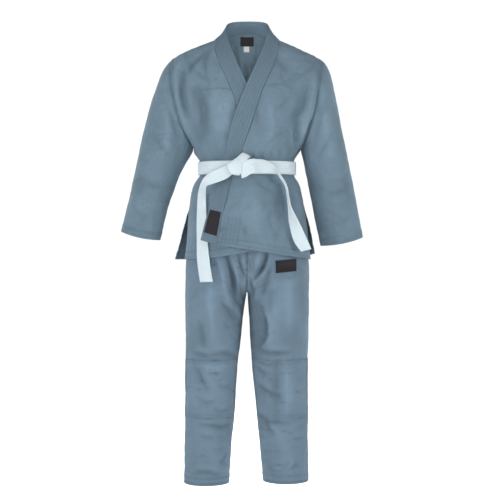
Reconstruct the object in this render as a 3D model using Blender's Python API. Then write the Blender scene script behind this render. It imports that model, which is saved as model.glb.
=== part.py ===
# A jiu-jitsu gi, worn and hollow: wrap jacket, belt and trousers.
# The tables are in millimetres. +X is the wearer's left, -Y the front, +Z up.
# The origin is between the shoulders, at the height of the neck's sides.
# Left and right in the names are the wearer's.

import math

import bmesh
import bpy
from mathutils import Vector

MM = 0.001

# Cloth and gaps
SEAM = 0.3
JACKET_CLOTH = 2.0
TROUSER_CLOTH = 1.4
COLLAR_CLOTH = 5.0
COLLAR_PROUD = 1.5
BELT_CLOTH = 4.0
WRAP_CLOTH = 6.5
BELT_WIDTH = 40.0
LABEL_CLOTH = 0.8

# How full the body's sections are: 2 is an ellipse, more is squarer
FULLNESS = 2.2
# The shoulders start to round over above this height
CHEST_Z = -250.0

# Half widths and depths of the jacket at each height
BODY_COLUMNS = ("z", "right", "left", "front", "back")
BODY_ROWS = (
    (-700, 196, 198, 136, 133),
    (-610, 188, 191, 131, 126),
    (-535, 182, 182, 126, 118),
    (-490, 177, 174, 120, 112),
    (-446, 166, 164, 114, 107),
    (-427, 146, 146, 110, 100),
    (-401, 144, 144, 109, 99),
    (-374, 146, 146, 110, 100),
    (-357, 165, 158, 116, 106),
    (-341, 166, 168, 119, 109),
    (-306, 203, 204, 121, 114),
    (-243, 250, 250, 120, 118),
    (-156, 290, 288, 116, 118),
    (-60, 300, 298, 112, 118),
)

# The shoulder line, from the middle of the neck outwards
SHOULDER_COLUMNS = ("x", "right", "left")
SHOULDER_ROWS = (
    (0, 135, 135), (30, 110, 110), (60, 66, 66), (85, 18, 18), (99, 0, 0), (120, -8, -9),
    (150, -18, -21), (203, -41, -45), (238, -62, -66), (300, -98, -101),
)

# The armhole seen from the front
ARMHOLE_COLUMNS = ("z", "right", "left")
ARMHOLE_ROWS = (
    (-341, 166, 168), (-312, 182, 181), (-260, 204, 195), (-217, 217, 207),
    (-165, 229, 217), (-105, 236, 227), (-62, 238, 236),
)
ARM_STEPS = 12
ARMPIT_Z = -341.0
SHOULDER_X = {-1: 238.0, 1: 236.0}

# Heights of the side seam's rows, from the hem to the armpit
SIDE_ROWS = (-684, -640, -600, -560, -520, -485, -446, -427, -401, -374, -357, ARMPIT_Z)
FRONT_COLUMNS = 10

# The collar band on the over front: where it is sewn on, its free edge, and how
# far the free edge stands in from the chest towards the neck
LAPEL_COLUMNS = ("z", "seam", "free", "free_z", "stand")
LAPEL_ROWS = (
    (-640, -86, -132, -626, 0), (-611, -80, -125, -596, 0), (-540, -69, -108, -529, 0),
    (-496, -58, -93, -485, 0), (-438, -44, -81, -428, 0), (-401, -31, -70, -390, 0),
    (-355, -15, -60, -340, 0), (-320, -3, -53, -300, 0), (-290, 9, -43, -265, 0),
    (-235, 25, -24, -213, 0), (-190, 40, -5, -165, 0), (-155, 53, 12, -126, 1),
    (-123, 69, 28, -90, 5), (-84, 85, 41, -56, 14), (-43, 97, 55, -16, 30),
    (-18, 100, 62, 14, 43), (0, 99, 66, 33, 49),
)
# Heights of the same rows at the collar band
BAND_ROWS = (-640, -607, -574, -541, -508, -480, -452, -431, -401, -372, -350, -322)
NECK_X = 99.0
BACK_NECK_Z = 41.0
NECK_STEPS = 10
# The band's free edge round the back of the neck
NECK_FREE_X = 68.0
NECK_FREE_Y = 58.0
NECK_FREE_Z = 71.0
# It leans this far to the wearer's left, and bows in this far at its middle
NECK_LEAN = 3.0
NECK_BOW = 1.5
# Where that edge starts on the shoulders
NECK_FREE_START_Y = -2.0
NECK_FREE_START_Z = 33.0
# The band's seam keeps clear of the panels' edges by this much
BAND_SEAM = 0.45

# The over front lies this far out, clear of the band beneath it, from below the neck
OVER_LIFT = 6.5
OVER_RISE_Z = (-68.0, -135.0)
# It comes back to the body over this width, from a line that runs outwards as it falls
OVER_EDGE_X = (30.0, 150.0)
OVER_EDGE_Z = (-100.0, -640.0)
OVER_FADE = 70.0
# Its hem corner stands further out, over the belt's tail
CORNER_LIFT = 7.0
CORNER_RISE_Z = (-505.0, -558.0)
CORNER_RISE_X = (0.0, -66.0)
# How far the under front's hem sags
UNDER_SAG = 9.0
UNDER_SAG_Z = (-560.0, -660.0)

# The back's side slits, and how far its corners swing out
VENT_Z = -520.0
BACK_FLARE = {-1: 32.0, 1: 17.0}
BACK_FLARE_Y = 22.0
BACK_HEM_RISE = {-1: 0.0, 1: 18.0}
BACK_COLUMNS = 24
# Heights of the same rows at the middle of the back
BACK_ROWS = (-690, -644, -602, -561, -520, -485, -446, -426, -399, -370, -348, -316)

# Sleeves: outer and inner edge seen from the front, half depth, forward swing
SLEEVE_COLUMNS = ("outer_x", "outer_z", "inner_x", "inner_z", "deep", "forward")
SLEEVE_ROWS = {
    -1: (
        (-238, -62, -166, -341, 66, 0), (-262, -92, -169, -350, 68, 1),
        (-278, -130, -174, -359, 70, 2), (-299, -197, -182, -373, 72, 4),
        (-323, -289, -194, -394, 71, 7), (-345, -394, -217, -441, 66, 10),
        (-369, -505, -246, -530, 58, 13), (-391, -597, -270, -624, 52, 15),
    ),
    1: (
        (236, -65, 168, -341, 66, 0), (250, -81, 169, -348, 68, 1),
        (262, -108, 171, -357, 70, 2), (275, -168, 175, -374, 72, 4),
        (292, -258, 181, -410, 71, 7), (313, -362, 192, -468, 66, 10),
        (337, -492, 208, -549, 58, 13), (360, -615, 228, -642, 52, 15),
    ),
}
# Places of the sleeve's rings along its table, closer together under the arm
SLEEVE_RINGS = (0, 1, 2, 3, 3.35, 3.7, 4.1, 4.5, 4.9, 5.3, 5.7, 6.1, 6.55, 7)
CUFF_DIP = 7.0

# Trousers above the crotch: half widths and depths
PELVIS_COLUMNS = ("z", "right", "left", "front", "back")
PELVIS_ROWS = (
    (-790, 194, 194, 112, 119), (-740, 193, 194, 117, 121), (-690, 190, 192, 119, 120),
    (-640, 182, 184, 120, 117), (-570, 174, 175, 116, 110), (-510, 164, 162, 109, 102),
    (-470, 152, 149, 104, 95), (-430, 146, 143, 100, 92),
)
CROTCH_TOP_Z = -640.0
CROTCH_Z = -790.0
WAIST_Z = -430.0
WAISTBAND_HEIGHT = 40.0
WAISTBAND_CLOTH = 2.5
WAISTBAND_AROUND = 32
PELVIS_HEIGHTS = (-470.3, -520, -570, -610)
CROTCH_STEPS = 6

# Legs below the crotch: outer and inner edge seen from the front, half depths
LEG_COLUMNS = ("z", "outer", "inner", "front", "back")
LEG_ROWS = {
    -1: (
        (-1378, 198, 56, 66, 66), (-1290, 197, 50, 68, 68), (-1181, 195, 40, 72, 72),
        (-1098, 193, 34, 76, 76), (-1003, 193, 27, 84, 84), (-919, 193, 17, 96, 100),
        (-847, 194, 8, 105, 110), (-810, 194, 4, 110, 116), (CROTCH_Z, 194, 1, 112, 119),
    ),
    1: (
        (-1372, 192, 49, 66, 66), (-1290, 192, 41, 68, 68), (-1181, 191, 31, 72, 72),
        (-1098, 191, 23, 76, 76), (-1003, 191, 14, 84, 84), (-919, 192, 7, 96, 100),
        (-847, 194, 3, 105, 110), (-810, 194, 2, 110, 116), (CROTCH_Z, 194, 1, 112, 119),
    ),
}
LEG_HEIGHTS = (-803, -825, -860, -900, -945, -990, -1035, -1080, -1125, -1170, -1220,
               -1270, -1320)
LEG_AROUND = 22
KNEE_TOP_Z = -990.0
KNEE_BOTTOM_Z = -1170.0

# Belt: height of its middle at the front, sides and back
BELT_Z = -401.0
BELT_TILT = 5.0
BODY_DEPTH = 110.0
BELT_AROUND = 44
BELT_CLEAR = 2.6
# The wraps ride over the over front's edge, set off from its own rise by a little, and
# come back to the waist by the wearer's right side
BELT_SHIFT = 10.0
BELT_BACK_X = (100.0, 138.0)
# They ride over the collar bands round this place
BELT_BAND_X = -58.0
BELT_BAND_FADE = (55.0, 90.0)
BELT_BAND_RISE = 2.7
# Ribbon stations
KNOT_STEPS = 14
RIGHT_TAIL_STEPS = 28
LEFT_TAIL_STEPS = 30

# Folds: two ends seen from the front, half width, height (hollows are negative)
FOLD_COLUMNS = ("x0", "z0", "x1", "z1", "wide", "high")
JACKET_FRONT_FOLDS = (
    (-105, -34, -168, -100, 13, -4.0), (-192, -105, -203, -175, 14, -5.0),
    (-203, -175, -190, -225, 14, -4.0), (-156, -175, -128, -235, 24, -5.0),
    (-128, -235, -142, -325, 24, -5.0), (-80, -215, -78, -280, 38, 4.0),
    (187, -150, 152, -245, 15, -5.5), (150, -250, 146, -345, 14, -5.0),
    (118, -240, 128, -330, 16, 3.5), (70, -60, 128, -118, 16, -3.0),
    (-20, -470, 40, -600, 40, 3.0), (110, -480, 125, -640, 22, -3.5),
)
JACKET_BACK_FOLDS = (
    (-190, -120, -150, -260, 16, -5.0), (188, -125, 152, -250, 16, -5.0),
    (-120, -300, -60, -360, 18, -4.0), (125, -310, 70, -362, 18, -4.0),
    (-60, -180, 50, -210, 30, -3.0), (-90, -450, -120, -640, 20, -4.5),
    (-20, -460, -25, -650, 20, 4.0), (60, -450, 80, -640, 18, -4.5),
)
SLEEVE_FOLDS = (
    (-262, -215, -205, -330, 14, -5.0), (-300, -300, -225, -380, 13, -4.5),
    (-262, -150, -240, -270, 15, 4.5), (-330, -440, -255, -470, 14, -4.0),
    (248, -190, 205, -330, 14, -5.0), (270, -300, 205, -390, 13, -4.5),
    (240, -140, 222, -260, 15, 4.5), (320, -470, 235, -500, 14, -4.0),
)
TROUSER_FRONT_FOLDS = (
    (-67, -665, -44, -735, 10, -8.0), (-44, -735, -25, -822, 10, -8.0),
    (63, -655, 42, -718, 10, -8.0), (42, -718, 22, -750, 10, -7.0),
    (86, -690, 60, -790, 16, -3.5), (-28, -660, -8, -735, 8, -4.0),
    (-72, -815, -30, -870, 12, -5.0), (43, -845, 52, -890, 12, -8.0),
    (52, -890, 24, -955, 12, -7.0), (-150, -905, -90, -930, 18, -4.0),
    (-168, -1035, -118, -1085, 14, -5.0), (150, -1030, 100, -1062, 14, -5.0),
    (-70, -1085, -150, -1110, 12, -4.0), (30, -1195, 80, -1250, 12, -5.0),
    (-160, -1235, -70, -1225, 12, -4.5), (-175, -1330, -90, -1345, 12, -4.5),
    (60, -1345, 120, -1325, 10, -4.5), (120, -1190, 170, -1215, 14, -3.5),
)
TROUSER_BACK_FOLDS = (
    (-150, -700, -60, -790, 16, -7.0), (150, -700, 62, -790, 16, -7.0),
    (-160, -850, -70, -870, 16, -6.0), (160, -845, 70, -875, 16, -6.0),
    (-165, -1040, -60, -1080, 14, -6.0), (165, -1050, 60, -1085, 14, -6.0),
    (-160, -1110, -70, -1125, 12, -5.0), (160, -1110, 70, -1130, 12, -5.0),
    (-165, -1300, -80, -1320, 14, -5.0), (165, -1290, 75, -1320, 14, -5.0),
)

# Ribbons: both edges at each station, upper or outer edge first
RIBBON_COLUMNS = ("ax", "ay", "az", "bx", "by", "bz")
KNOT_LOOP_ROWS = (
    (-11, -126.5, -368, 10, -126.5, -380), (-15, -140, -364, 8, -142, -377),
    (-24, -152, -381, -3, -153, -390), (-38, -155, -398, -13, -156, -408),
    (-46, -153, -414, -12, -155, -424), (-44, -144, -426, -11, -145, -438),
    (-41, -125.0, -424, -12, -127.8, -434),
)
RIGHT_TAIL_ROWS = (
    (-46, -137.5, -399, -44.6, -137.5, -430), (-62, -137, -402, -60, -137, -441),
    (-86, -136, -411, -83, -136, -451), (-112, -132, -424, -108, -131, -459),
    (-131, -128, -441, -121, -119, -464), (-143, -121, -468, -124, -104, -484),
    (-149, -108, -500, -123, -104, -508), (-152, -91, -560, -121, -109, -560),
    (-152, -92, -625, -118, -113.5, -625), (-150, -100, -690, -112, -121, -690),
    (-141, -112, -752, -102, -123, -751),
)
LEFT_TAIL_ROWS = (
    (-7, -149, -393, -7, -150, -436), (10, -149, -386, 8, -149, -428),
    (25, -144, -384, 26, -144, -424), (45, -139, -384, 48, -139, -424),
    (64, -135, -390, 70, -134, -425), (84, -134, -404, 90, -121, -428),
    (101, -137, -432, 104, -111, -444), (119, -140, -466, 118, -107, -470),
    (130, -140, -520, 124, -107, -520), (150, -138, -560, 127, -112, -572),
    (173, -130, -606, 140, -120, -626), (194, -120, -652, 163, -118, -660),
)

# Labels: the corner where each starts and its size, all plain
NECK_LABEL = {"x": -22.0, "top": 27.0, "wide": 44.0, "tall": 28.0}
SIZE_TAG = {"x": -11.0, "top": -1.5, "wide": 18.0, "tall": 17.0}
LAPEL_PATCH = {"from": 0.1, "to": 0.9, "top": -545.0, "bottom": -616.0}
THIGH_PATCH = {"x0": 87.0, "x1": 150.0, "top": -688.0, "tall": 37.0, "slant": 6.0}
# How far the thigh patch sits in from the leg's foremost points
THIGH_PATCH_SET = 0.5
# Gaps behind the labels at the neck and behind the patch on the lapel
LABEL_CLEAR = 0.9
PATCH_CLEAR = 0.75


# Reading tables


def column(columns, rows, name, key):
    # One column read at a key by a smooth curve through its rows.
    at = columns.index(name)
    keys = [row[0] for row in rows]
    values = [row[at] for row in rows]
    if key <= keys[0]:
        return values[0]
    if key >= keys[-1]:
        return values[-1]
    i = max(j for j in range(len(keys) - 1) if keys[j] <= key)
    step = keys[i + 1] - keys[i]
    t = (key - keys[i]) / step

    def slope(j):
        a, b = max(j - 1, 0), min(j + 1, len(keys) - 1)
        return (values[b] - values[a]) / (keys[b] - keys[a])

    h1 = 2 * t ** 3 - 3 * t ** 2 + 1
    h2 = t ** 3 - 2 * t ** 2 + t
    h3 = -2 * t ** 3 + 3 * t ** 2
    h4 = t ** 3 - t ** 2
    return h1 * values[i] + h2 * step * slope(i) + h3 * values[i + 1] + h4 * step * slope(i + 1)


def station(rows, t):
    # A whole row read at a place t along a table, 0 at its start and 1 at its end.
    keyed = [(i,) + tuple(row) for i, row in enumerate(rows)]
    names = tuple(range(len(keyed[0])))
    place = t * (len(rows) - 1)
    return [column(names, keyed, name, place) for name in names[1:]]


def ramp(value, start, end):
    # 0 before start, 1 after end, smooth between.
    t = min(1.0, max(0.0, (value - start) / (end - start)))
    return t * t * (3 - 2 * t)


def mix(a, b, t):
    return a + (b - a) * t


# The body's base surface


def side_name(x):
    return "right" if x < 0 else "left"


def shoulder_z(x):
    return column(SHOULDER_COLUMNS, SHOULDER_ROWS, side_name(x), abs(x))


def body_half(z, x):
    return column(BODY_COLUMNS, BODY_ROWS, side_name(x), z)


def body_field(x, y, z):
    # Zero on the surface, more outside.
    deep = column(BODY_COLUMNS, BODY_ROWS, "front" if y < 0 else "back", z)
    across = (abs(x) / body_half(z, x)) ** FULLNESS
    up = max(0.0, (z - CHEST_Z) / (shoulder_z(x) - CHEST_Z)) ** FULLNESS
    return (abs(y) / deep) ** FULLNESS + across + up - across * up - 1


def body_point(x, z, face):
    # The point of the front (face -1) or back (face 1) seen at x and z.
    deep = column(BODY_COLUMNS, BODY_ROWS, "front" if face < 0 else "back", z)
    across = min(1.0, abs(x) / body_half(z, x)) ** FULLNESS
    up = min(1.0, max(0.0, (z - CHEST_Z) / (shoulder_z(x) - CHEST_Z))) ** FULLNESS
    return Vector((x, face * deep * ((1 - across) * (1 - up)) ** (1 / FULLNESS), z))


def body_normal(p):
    h = 0.5
    n = Vector((
        body_field(p.x + h, p.y, p.z) - body_field(p.x - h, p.y, p.z),
        body_field(p.x, p.y + h, p.z) - body_field(p.x, p.y - h, p.z),
        body_field(p.x, p.y, p.z + h) - body_field(p.x, p.y, p.z - h),
    ))
    return n.normalized()


def fold_height(p, normal, front_folds, back_folds):
    # How far the folds move a point, fading out where the cloth turns side on.
    folds = front_folds if normal.y < 0 else back_folds
    facing = min(1.0, abs(normal.y) * 1.6)
    height = 0.0
    for row in folds:
        fold = dict(zip(FOLD_COLUMNS, row))
        dx, dz = fold["x1"] - fold["x0"], fold["z1"] - fold["z0"]
        px, pz = p.x - fold["x0"], p.z - fold["z0"]
        t = min(1.0, max(0.0, (px * dx + pz * dz) / (dx * dx + dz * dz)))
        away = math.hypot(px - dx * t, pz - dz * t)
        height += fold["high"] * math.exp(-(away / fold["wide"]) ** 2)
    return height * facing


def over_lift(x, z):
    # The over front rises over the band beneath, and over the tail at its corner.
    inner = mix(*OVER_EDGE_X, ramp(z, *OVER_EDGE_Z))
    across = 1 - ramp(x, inner, min(inner + OVER_FADE, body_half(z, x) - 4))
    corner = ramp(z, *CORNER_RISE_Z) * ramp(x, *CORNER_RISE_X)
    return OVER_LIFT * ramp(z, *OVER_RISE_Z) * across + CORNER_LIFT * corner


# Building closed walls


def grid_normals(grid, wrap):
    rows, cols = len(grid), len(grid[0])
    normals = []
    for i in range(rows):
        line = []
        for j in range(cols):
            if wrap:
                left, right = grid[i][j - 1], grid[i][(j + 1) % cols]
            else:
                left, right = grid[i][max(j - 1, 0)], grid[i][min(j + 1, cols - 1)]
            down, up = grid[max(i - 1, 0)][j], grid[min(i + 1, rows - 1)][j]
            line.append((right - left).cross(up - down).normalized())
        normals.append(line)
    return normals


def grid_faces(rows, cols, wrap):
    last = cols if wrap else cols - 1
    faces = []
    for i in range(rows - 1):
        for j in range(last):
            k = (j + 1) % cols
            faces.append((i * cols + j, i * cols + k, (i + 1) * cols + k, (i + 1) * cols + j))
    return faces


def wall_object(name, outer, inner, faces, material):
    # Closes a sheet: outer points, inner points, and a rim round every open edge.
    mesh = bpy.data.meshes.new(name)
    bm = bmesh.new()
    used = sorted({v for face in faces for v in face})
    out = {v: bm.verts.new(outer[v] * MM) for v in used}
    ins = {v: bm.verts.new(inner[v] * MM) for v in used}
    edges = {}
    for face in faces:
        # Every face is split from its first corner, so walls made alike lie alike.
        for k in range(1, len(face) - 1):
            split = (face[0], face[k], face[k + 1])
            bm.faces.new([out[v] for v in split])
            bm.faces.new([ins[v] for v in reversed(split)])
        for a, b in zip(face, face[1:] + face[:1]):
            edges[(a, b)] = True
    for a, b in edges:
        if (b, a) not in edges:
            bm.faces.new((out[b], out[a], ins[a], ins[b]))
    bmesh.ops.recalc_face_normals(bm, faces=bm.faces)
    bm.to_mesh(mesh)
    bm.free()
    mesh.shade_smooth()
    mesh.set_sharp_from_angle(angle=math.radians(50))
    thing = bpy.data.objects.new(name, mesh)
    bpy.context.scene.collection.objects.link(thing)
    thing.data.materials.append(material)
    return thing


def flat_list(grid):
    return [p for row in grid for p in row]


def moved(grid, normals, distance):
    return [[p + n * distance for p, n in zip(row, line)] for row, line in zip(grid, normals)]


def cloth_material(name, colour, roughness):
    material = bpy.data.materials.new(name)
    material.use_nodes = True
    shader = material.node_tree.nodes["Principled BSDF"]
    shader.inputs["Base Color"].default_value = (*colour, 1)
    shader.inputs["Roughness"].default_value = roughness
    shader.inputs["Metallic"].default_value = 0.0
    return material


# The jacket's shared seams


def lapel_row(z):
    return {name: column(LAPEL_COLUMNS, LAPEL_ROWS, name, z) for name in LAPEL_COLUMNS}


def arm_height(k, side):
    top = shoulder_z(SHOULDER_X[side])
    return mix(ARMPIT_Z, top, (1 - math.cos(math.pi * k / ARM_STEPS)) / 2)


def side_points(side, face):
    # The panel's outer edge: the side seam up to the armpit, then the armhole.
    points = [body_point(side * body_half(z, side), z, face) for z in SIDE_ROWS]
    for k in range(1, ARM_STEPS + 1):
        z = arm_height(k, side)
        x = side * column(ARMHOLE_COLUMNS, ARMHOLE_ROWS, side_name(side), z)
        if k == ARM_STEPS:
            x = side * SHOULDER_X[side]
            z = shoulder_z(x)
        points.append(body_point(x, z, face))
    return points


def lapel_heights():
    # The seam's heights on the band, row for row with the side's.
    top = shoulder_z(NECK_X)
    high = [mix(BAND_ROWS[-1], top, math.sin(math.pi * k / ARM_STEPS / 2))
            for k in range(1, ARM_STEPS + 1)]
    return list(BAND_ROWS) + high


def seam_shift(p, face):
    # Half the seam's gap, to the panel's own side of the side and shoulder seams.
    return Vector((p.x, p.y + face * SEAM / 2, p.z))


def front_grid(side, over):
    # Rows from the hem up, columns from the collar band out to the side.
    heights = lapel_heights()
    edge = side_points(side, -1)
    low_rows = len(SIDE_ROWS)
    grid, normals = [], []
    for i, (inner_z, outer) in enumerate(zip(heights, edge)):
        inner_x = side * lapel_row(inner_z)["seam"]
        rise = max(0, i - low_rows + 1) / ARM_STEPS
        line, line_normals = [], []
        for j in range(FRONT_COLUMNS + 1):
            s = math.sin(math.pi / 2 * j / FRONT_COLUMNS)
            x = mix(inner_x, outer.x, s)
            chord = mix(heights[-1], edge[-1].z, s)
            z = mix(inner_z, outer.z, s) + (shoulder_z(x) - chord) * rise ** 4
            if not over:
                z -= UNDER_SAG * math.sin(math.pi * s) * ramp(z, *UNDER_SAG_Z)
            base = outer if j == FRONT_COLUMNS else body_point(x, z, -1)
            normal = body_normal(base)
            lift = fold_height(base, normal, JACKET_FRONT_FOLDS, ())
            if over:
                lift += over_lift(base.x, base.z)
            line.append(seam_shift(base + normal * lift, -1))
            line_normals.append(normal)
        grid.append(line)
        normals.append(line_normals)
    return grid, normals


def neck_seam(angle):
    # The back neck seam from the wearer's left (0) to the right (180 degrees).
    rise = math.sin(angle) ** 3
    z = mix(shoulder_z(NECK_X), BACK_NECK_Z, rise)
    return NECK_X * math.cos(angle), z


def back_top():
    # The back's top edge from right to left: shoulder, neck, shoulder.
    count = (BACK_COLUMNS - NECK_STEPS) // 2
    points = []
    for j in range(count):
        x = -mix(SHOULDER_X[-1], NECK_X, j / count)
        points.append((x, shoulder_z(x)))
    for j in range(NECK_STEPS + 1):
        points.append(neck_seam(math.pi * (1 - j / NECK_STEPS)))
    for j in range(1, count + 1):
        x = mix(NECK_X, SHOULDER_X[1], j / count)
        points.append((x, shoulder_z(x)))
    return points


def back_grid():
    # Rows from the hem up, columns from the wearer's right to left.
    edges = {side: side_points(side, 1) for side in (-1, 1)}
    top = back_top()
    low_rows = len(SIDE_ROWS)
    grid, normals = [], []
    for i in range(len(edges[1])):
        rise = max(0, i - low_rows + 1) / ARM_STEPS
        centre_low = BACK_ROWS[min(i, low_rows - 1)]
        centre = mix(centre_low, BACK_NECK_Z, math.sin(math.pi / 2 * rise))
        line, line_normals = [], []
        for j in range(BACK_COLUMNS + 1):
            u = 2 * j / BACK_COLUMNS - 1
            side = -1 if u < 0 else 1
            outer = edges[side][i]
            corner = edges[side][-1]
            top_x, top_z = top[j]
            blend = ramp(rise, 0, 1)
            s = mix(math.sin(math.pi / 2 * abs(u)), abs(top_x) / abs(corner.x), blend)
            low_share = 1 - s * s
            top_share = (top_z - corner.z) / (BACK_NECK_Z - corner.z)
            share = mix(low_share, top_share, blend)
            x = side * abs(outer.x) * s
            z = mix(outer.z, centre, share)
            at_edge = j in (0, BACK_COLUMNS)
            base = outer if at_edge else body_point(x, z, 1)
            normal = body_normal(base)
            lift = fold_height(base, normal, (), JACKET_BACK_FOLDS)
            p = seam_shift(base + normal * lift, 1)
            slit = min(1.0, max(0.0, (outer.z - VENT_Z) / (SIDE_ROWS[0] - VENT_Z)))
            flare = slit ** 0.9 * abs(s) ** 6
            p.x += side * BACK_FLARE[side] * flare
            p.y += BACK_FLARE_Y * flare
            p.z += BACK_HEM_RISE[side] * flare
            line.append(p)
            line_normals.append(normal)
        grid.append(line)
        normals.append(line_normals)
    return grid, normals


def band_rows(side, over):
    # The band's rows on one front, from the hem up: seam, middle and free edge.
    grid, _ = front_grid(side, over)
    rows = []
    for inner_z, panel_line in zip(lapel_heights(), grid):
        row = lapel_row(inner_z)
        seam_x, free_x = side * row["seam"], side * row["free"]
        straight = ramp(row["stand"], 0, 25)
        free = body_point(free_x, row["free_z"], -1)
        free.y += row["stand"]
        middle = body_point((seam_x + free_x) / 2, (inner_z + row["free_z"]) / 2, -1)
        points = [panel_line[0].copy()]
        for p in (middle, free):
            normal = body_normal(body_point(p.x, p.z, -1))
            lift = fold_height(p, normal, JACKET_FRONT_FOLDS, ()) * (1 - straight)
            if over:
                lift += over_lift(p.x, p.z)
            points.append(p + normal * lift)
        chord = (points[0] + points[2]) / 2
        points[1] = points[1].lerp(chord, straight)
        rows.append(points)
    return rows


def collar_grid():
    # From the over front's hem, up and round the neck, down to the under front's hem.
    rows = band_rows(1, True)
    back, _ = back_grid()
    count = (BACK_COLUMNS - NECK_STEPS) // 2
    for j in range(1, NECK_STEPS):
        angle = math.pi * j / NECK_STEPS
        seam = back[-1][BACK_COLUMNS - count - j].copy()
        turn = math.copysign(abs(math.cos(angle)) ** 0.45, math.cos(angle))
        free = Vector((
            NECK_FREE_X * turn + NECK_LEAN * math.sin(angle),
            mix(NECK_FREE_START_Y, NECK_FREE_Y, math.sin(angle) ** 1.2),
            mix(NECK_FREE_START_Z, NECK_FREE_Z, math.sin(angle) ** 0.9),
        ))
        middle = (seam + free) / 2 - Vector((0, NECK_BOW * math.sin(angle), 0))
        rows.append([seam, middle, free])
    rows += list(reversed(band_rows(-1, False)))
    for points in rows:
        points[0] += (points[1] - points[0]).normalized() * BAND_SEAM
    return rows


# Sleeves


def armhole_ring(side):
    # From the armpit up the front to the shoulder and down the back.
    start = len(SIDE_ROWS) - 1
    front = side_points(side, -1)[start:]
    back = side_points(side, 1)[start:]
    return front + list(reversed(back[1:-1]))


def sleeve_grid(side):
    ring = armhole_ring(side)
    count = len(ring)
    grid = []
    first = None
    for place in SLEEVE_RINGS:
        t = place / SLEEVE_RINGS[-1]
        row = dict(zip(SLEEVE_COLUMNS, station(SLEEVE_ROWS[side], t)))
        outer = Vector((row["outer_x"], 0, row["outer_z"]))
        inner = Vector((row["inner_x"], 0, row["inner_z"]))
        ellipse = []
        for j in range(count):
            angle = 2 * math.pi * j / count
            p = inner.lerp(outer, (1 - math.cos(angle)) / 2)
            p.y = -row["deep"] * math.sin(angle) - row["forward"]
            p.z -= CUFF_DIP * ramp(t, 0.8, 1) * math.sin(angle) ** 2
            ellipse.append(p)
        if first is None:
            first = ellipse
        stay = 1 - ramp(t, 0, 0.6)
        grid.append([p + (a - b) * stay for p, a, b in zip(ellipse, ring, first)])
    normals = sleeve_normals(grid, side)
    for i, (line, line_normals) in enumerate(zip(grid, normals)):
        fade = ramp(SLEEVE_RINGS[i], 1, 4)
        for j, (p, n) in enumerate(zip(line, line_normals)):
            line[j] = p + n * fold_height(p, n, SLEEVE_FOLDS, SLEEVE_FOLDS) * fade
    return grid, sleeve_normals(grid, side)


def sleeve_normals(grid, side):
    # Rings run one way on both sleeves, so the wearer's left one is turned about.
    normals = grid_normals(grid, True)
    middle = sum(grid[-1], Vector()) / len(grid[-1])
    if normals[-1][0].dot(grid[-1][0] - middle) < 0:
        normals = [[-n for n in line] for line in normals]
    return normals


def miters(side, sleeve_first):
    # One shared direction across the armhole seam for both walls, and how far it
    # reaches so that each keeps its thickness. Under the arm each keeps its own.
    ring = armhole_ring(side)
    result = []
    for k, (p, n) in enumerate(zip(ring, sleeve_first)):
        body = body_normal(p)
        if body.dot(n) < 0:
            result.append(None)
            continue
        shared = body + n
        if k == ARM_STEPS:
            shared.y = 0
        shared.normalize()
        reach = 1 / max(0.8, shared.dot(n))
        result.append((shared, reach))
    return result


def build_sleeve(side, name, material):
    grid, normals = sleeve_grid(side)
    shared = miters(side, normals[0])
    for j, p in enumerate(grid[0]):
        grid[0][j] = p + (grid[1][j] - p).normalized() * SEAM
    outer = flat_list(grid)
    inner = flat_list(moved(grid, normals, -JACKET_CLOTH))
    for j, pair in enumerate(shared):
        if pair:
            inner[j] = grid[0][j] - pair[0] * JACKET_CLOTH * pair[1]
    faces = grid_faces(len(grid), len(grid[0]), True)
    return wall_object(name, outer, inner, faces, material)


# Jacket panels


def armhole_directions(side, face):
    # The shared directions at the armhole's rows of one panel, armpit to shoulder.
    _, normals = sleeve_grid(side)
    shared = miters(side, normals[0])
    if face < 0:
        return shared[:ARM_STEPS + 1]
    return [shared[0]] + list(reversed(shared[ARM_STEPS:]))


def panel_inner(grid, normals, edges):
    # Points of the inner face. edges gives a column's side and face.
    inner = moved(grid, normals, -JACKET_CLOTH)
    start = len(SIDE_ROWS) - 1
    for col, side, face in edges:
        for k, pair in enumerate(armhole_directions(side, face)):
            if pair:
                p = grid[start + k][col]
                inner[start + k][col] = p - pair[0] * JACKET_CLOTH * pair[1]
    return inner


def build_front(side, over, name, material):
    grid, normals = front_grid(side, over)
    inner = panel_inner(grid, normals, [(FRONT_COLUMNS, side, -1)])
    faces = grid_faces(len(grid), len(grid[0]), False)
    return wall_object(name, flat_list(grid), flat_list(inner), faces, material)


def build_back(name, material):
    grid, normals = back_grid()
    inner = panel_inner(grid, normals, [(0, -1, 1), (BACK_COLUMNS, 1, 1)])
    faces = grid_faces(len(grid), len(grid[0]), False)
    return wall_object(name, flat_list(grid), flat_list(inner), faces, material)


def build_collar(name, material):
    grid = collar_grid()
    normals = collar_normals(grid)
    outer = flat_list(moved(grid, normals, COLLAR_PROUD))
    inner = flat_list(moved(grid, normals, COLLAR_PROUD - COLLAR_CLOTH))
    faces = grid_faces(len(grid), len(grid[0]), False)
    return wall_object(name, outer, inner, faces, material)


def collar_normals(grid):
    # Along the seam the band takes the panels' own directions, so the edges match.
    normals = grid_normals(grid, False)
    if normals[0][0].y > 0:
        normals = [[-n for n in line] for line in normals]
    fronts = len(lapel_heights())
    down = range(len(grid) - 1, len(grid) - fronts - 1, -1)
    for side, rows in ((1, range(fronts)), (-1, down)):
        for i, z in zip(rows, lapel_heights()):
            normals[i][0] = body_normal(body_point(side * lapel_row(z)["seam"], z, -1))
    for i in range(fronts, len(grid) - fronts):
        x, z = neck_seam(math.pi * (i - fronts + 1) / NECK_STEPS)
        normals[i][0] = body_normal(body_point(x, z, 1))
    return normals


# Belt


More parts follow.
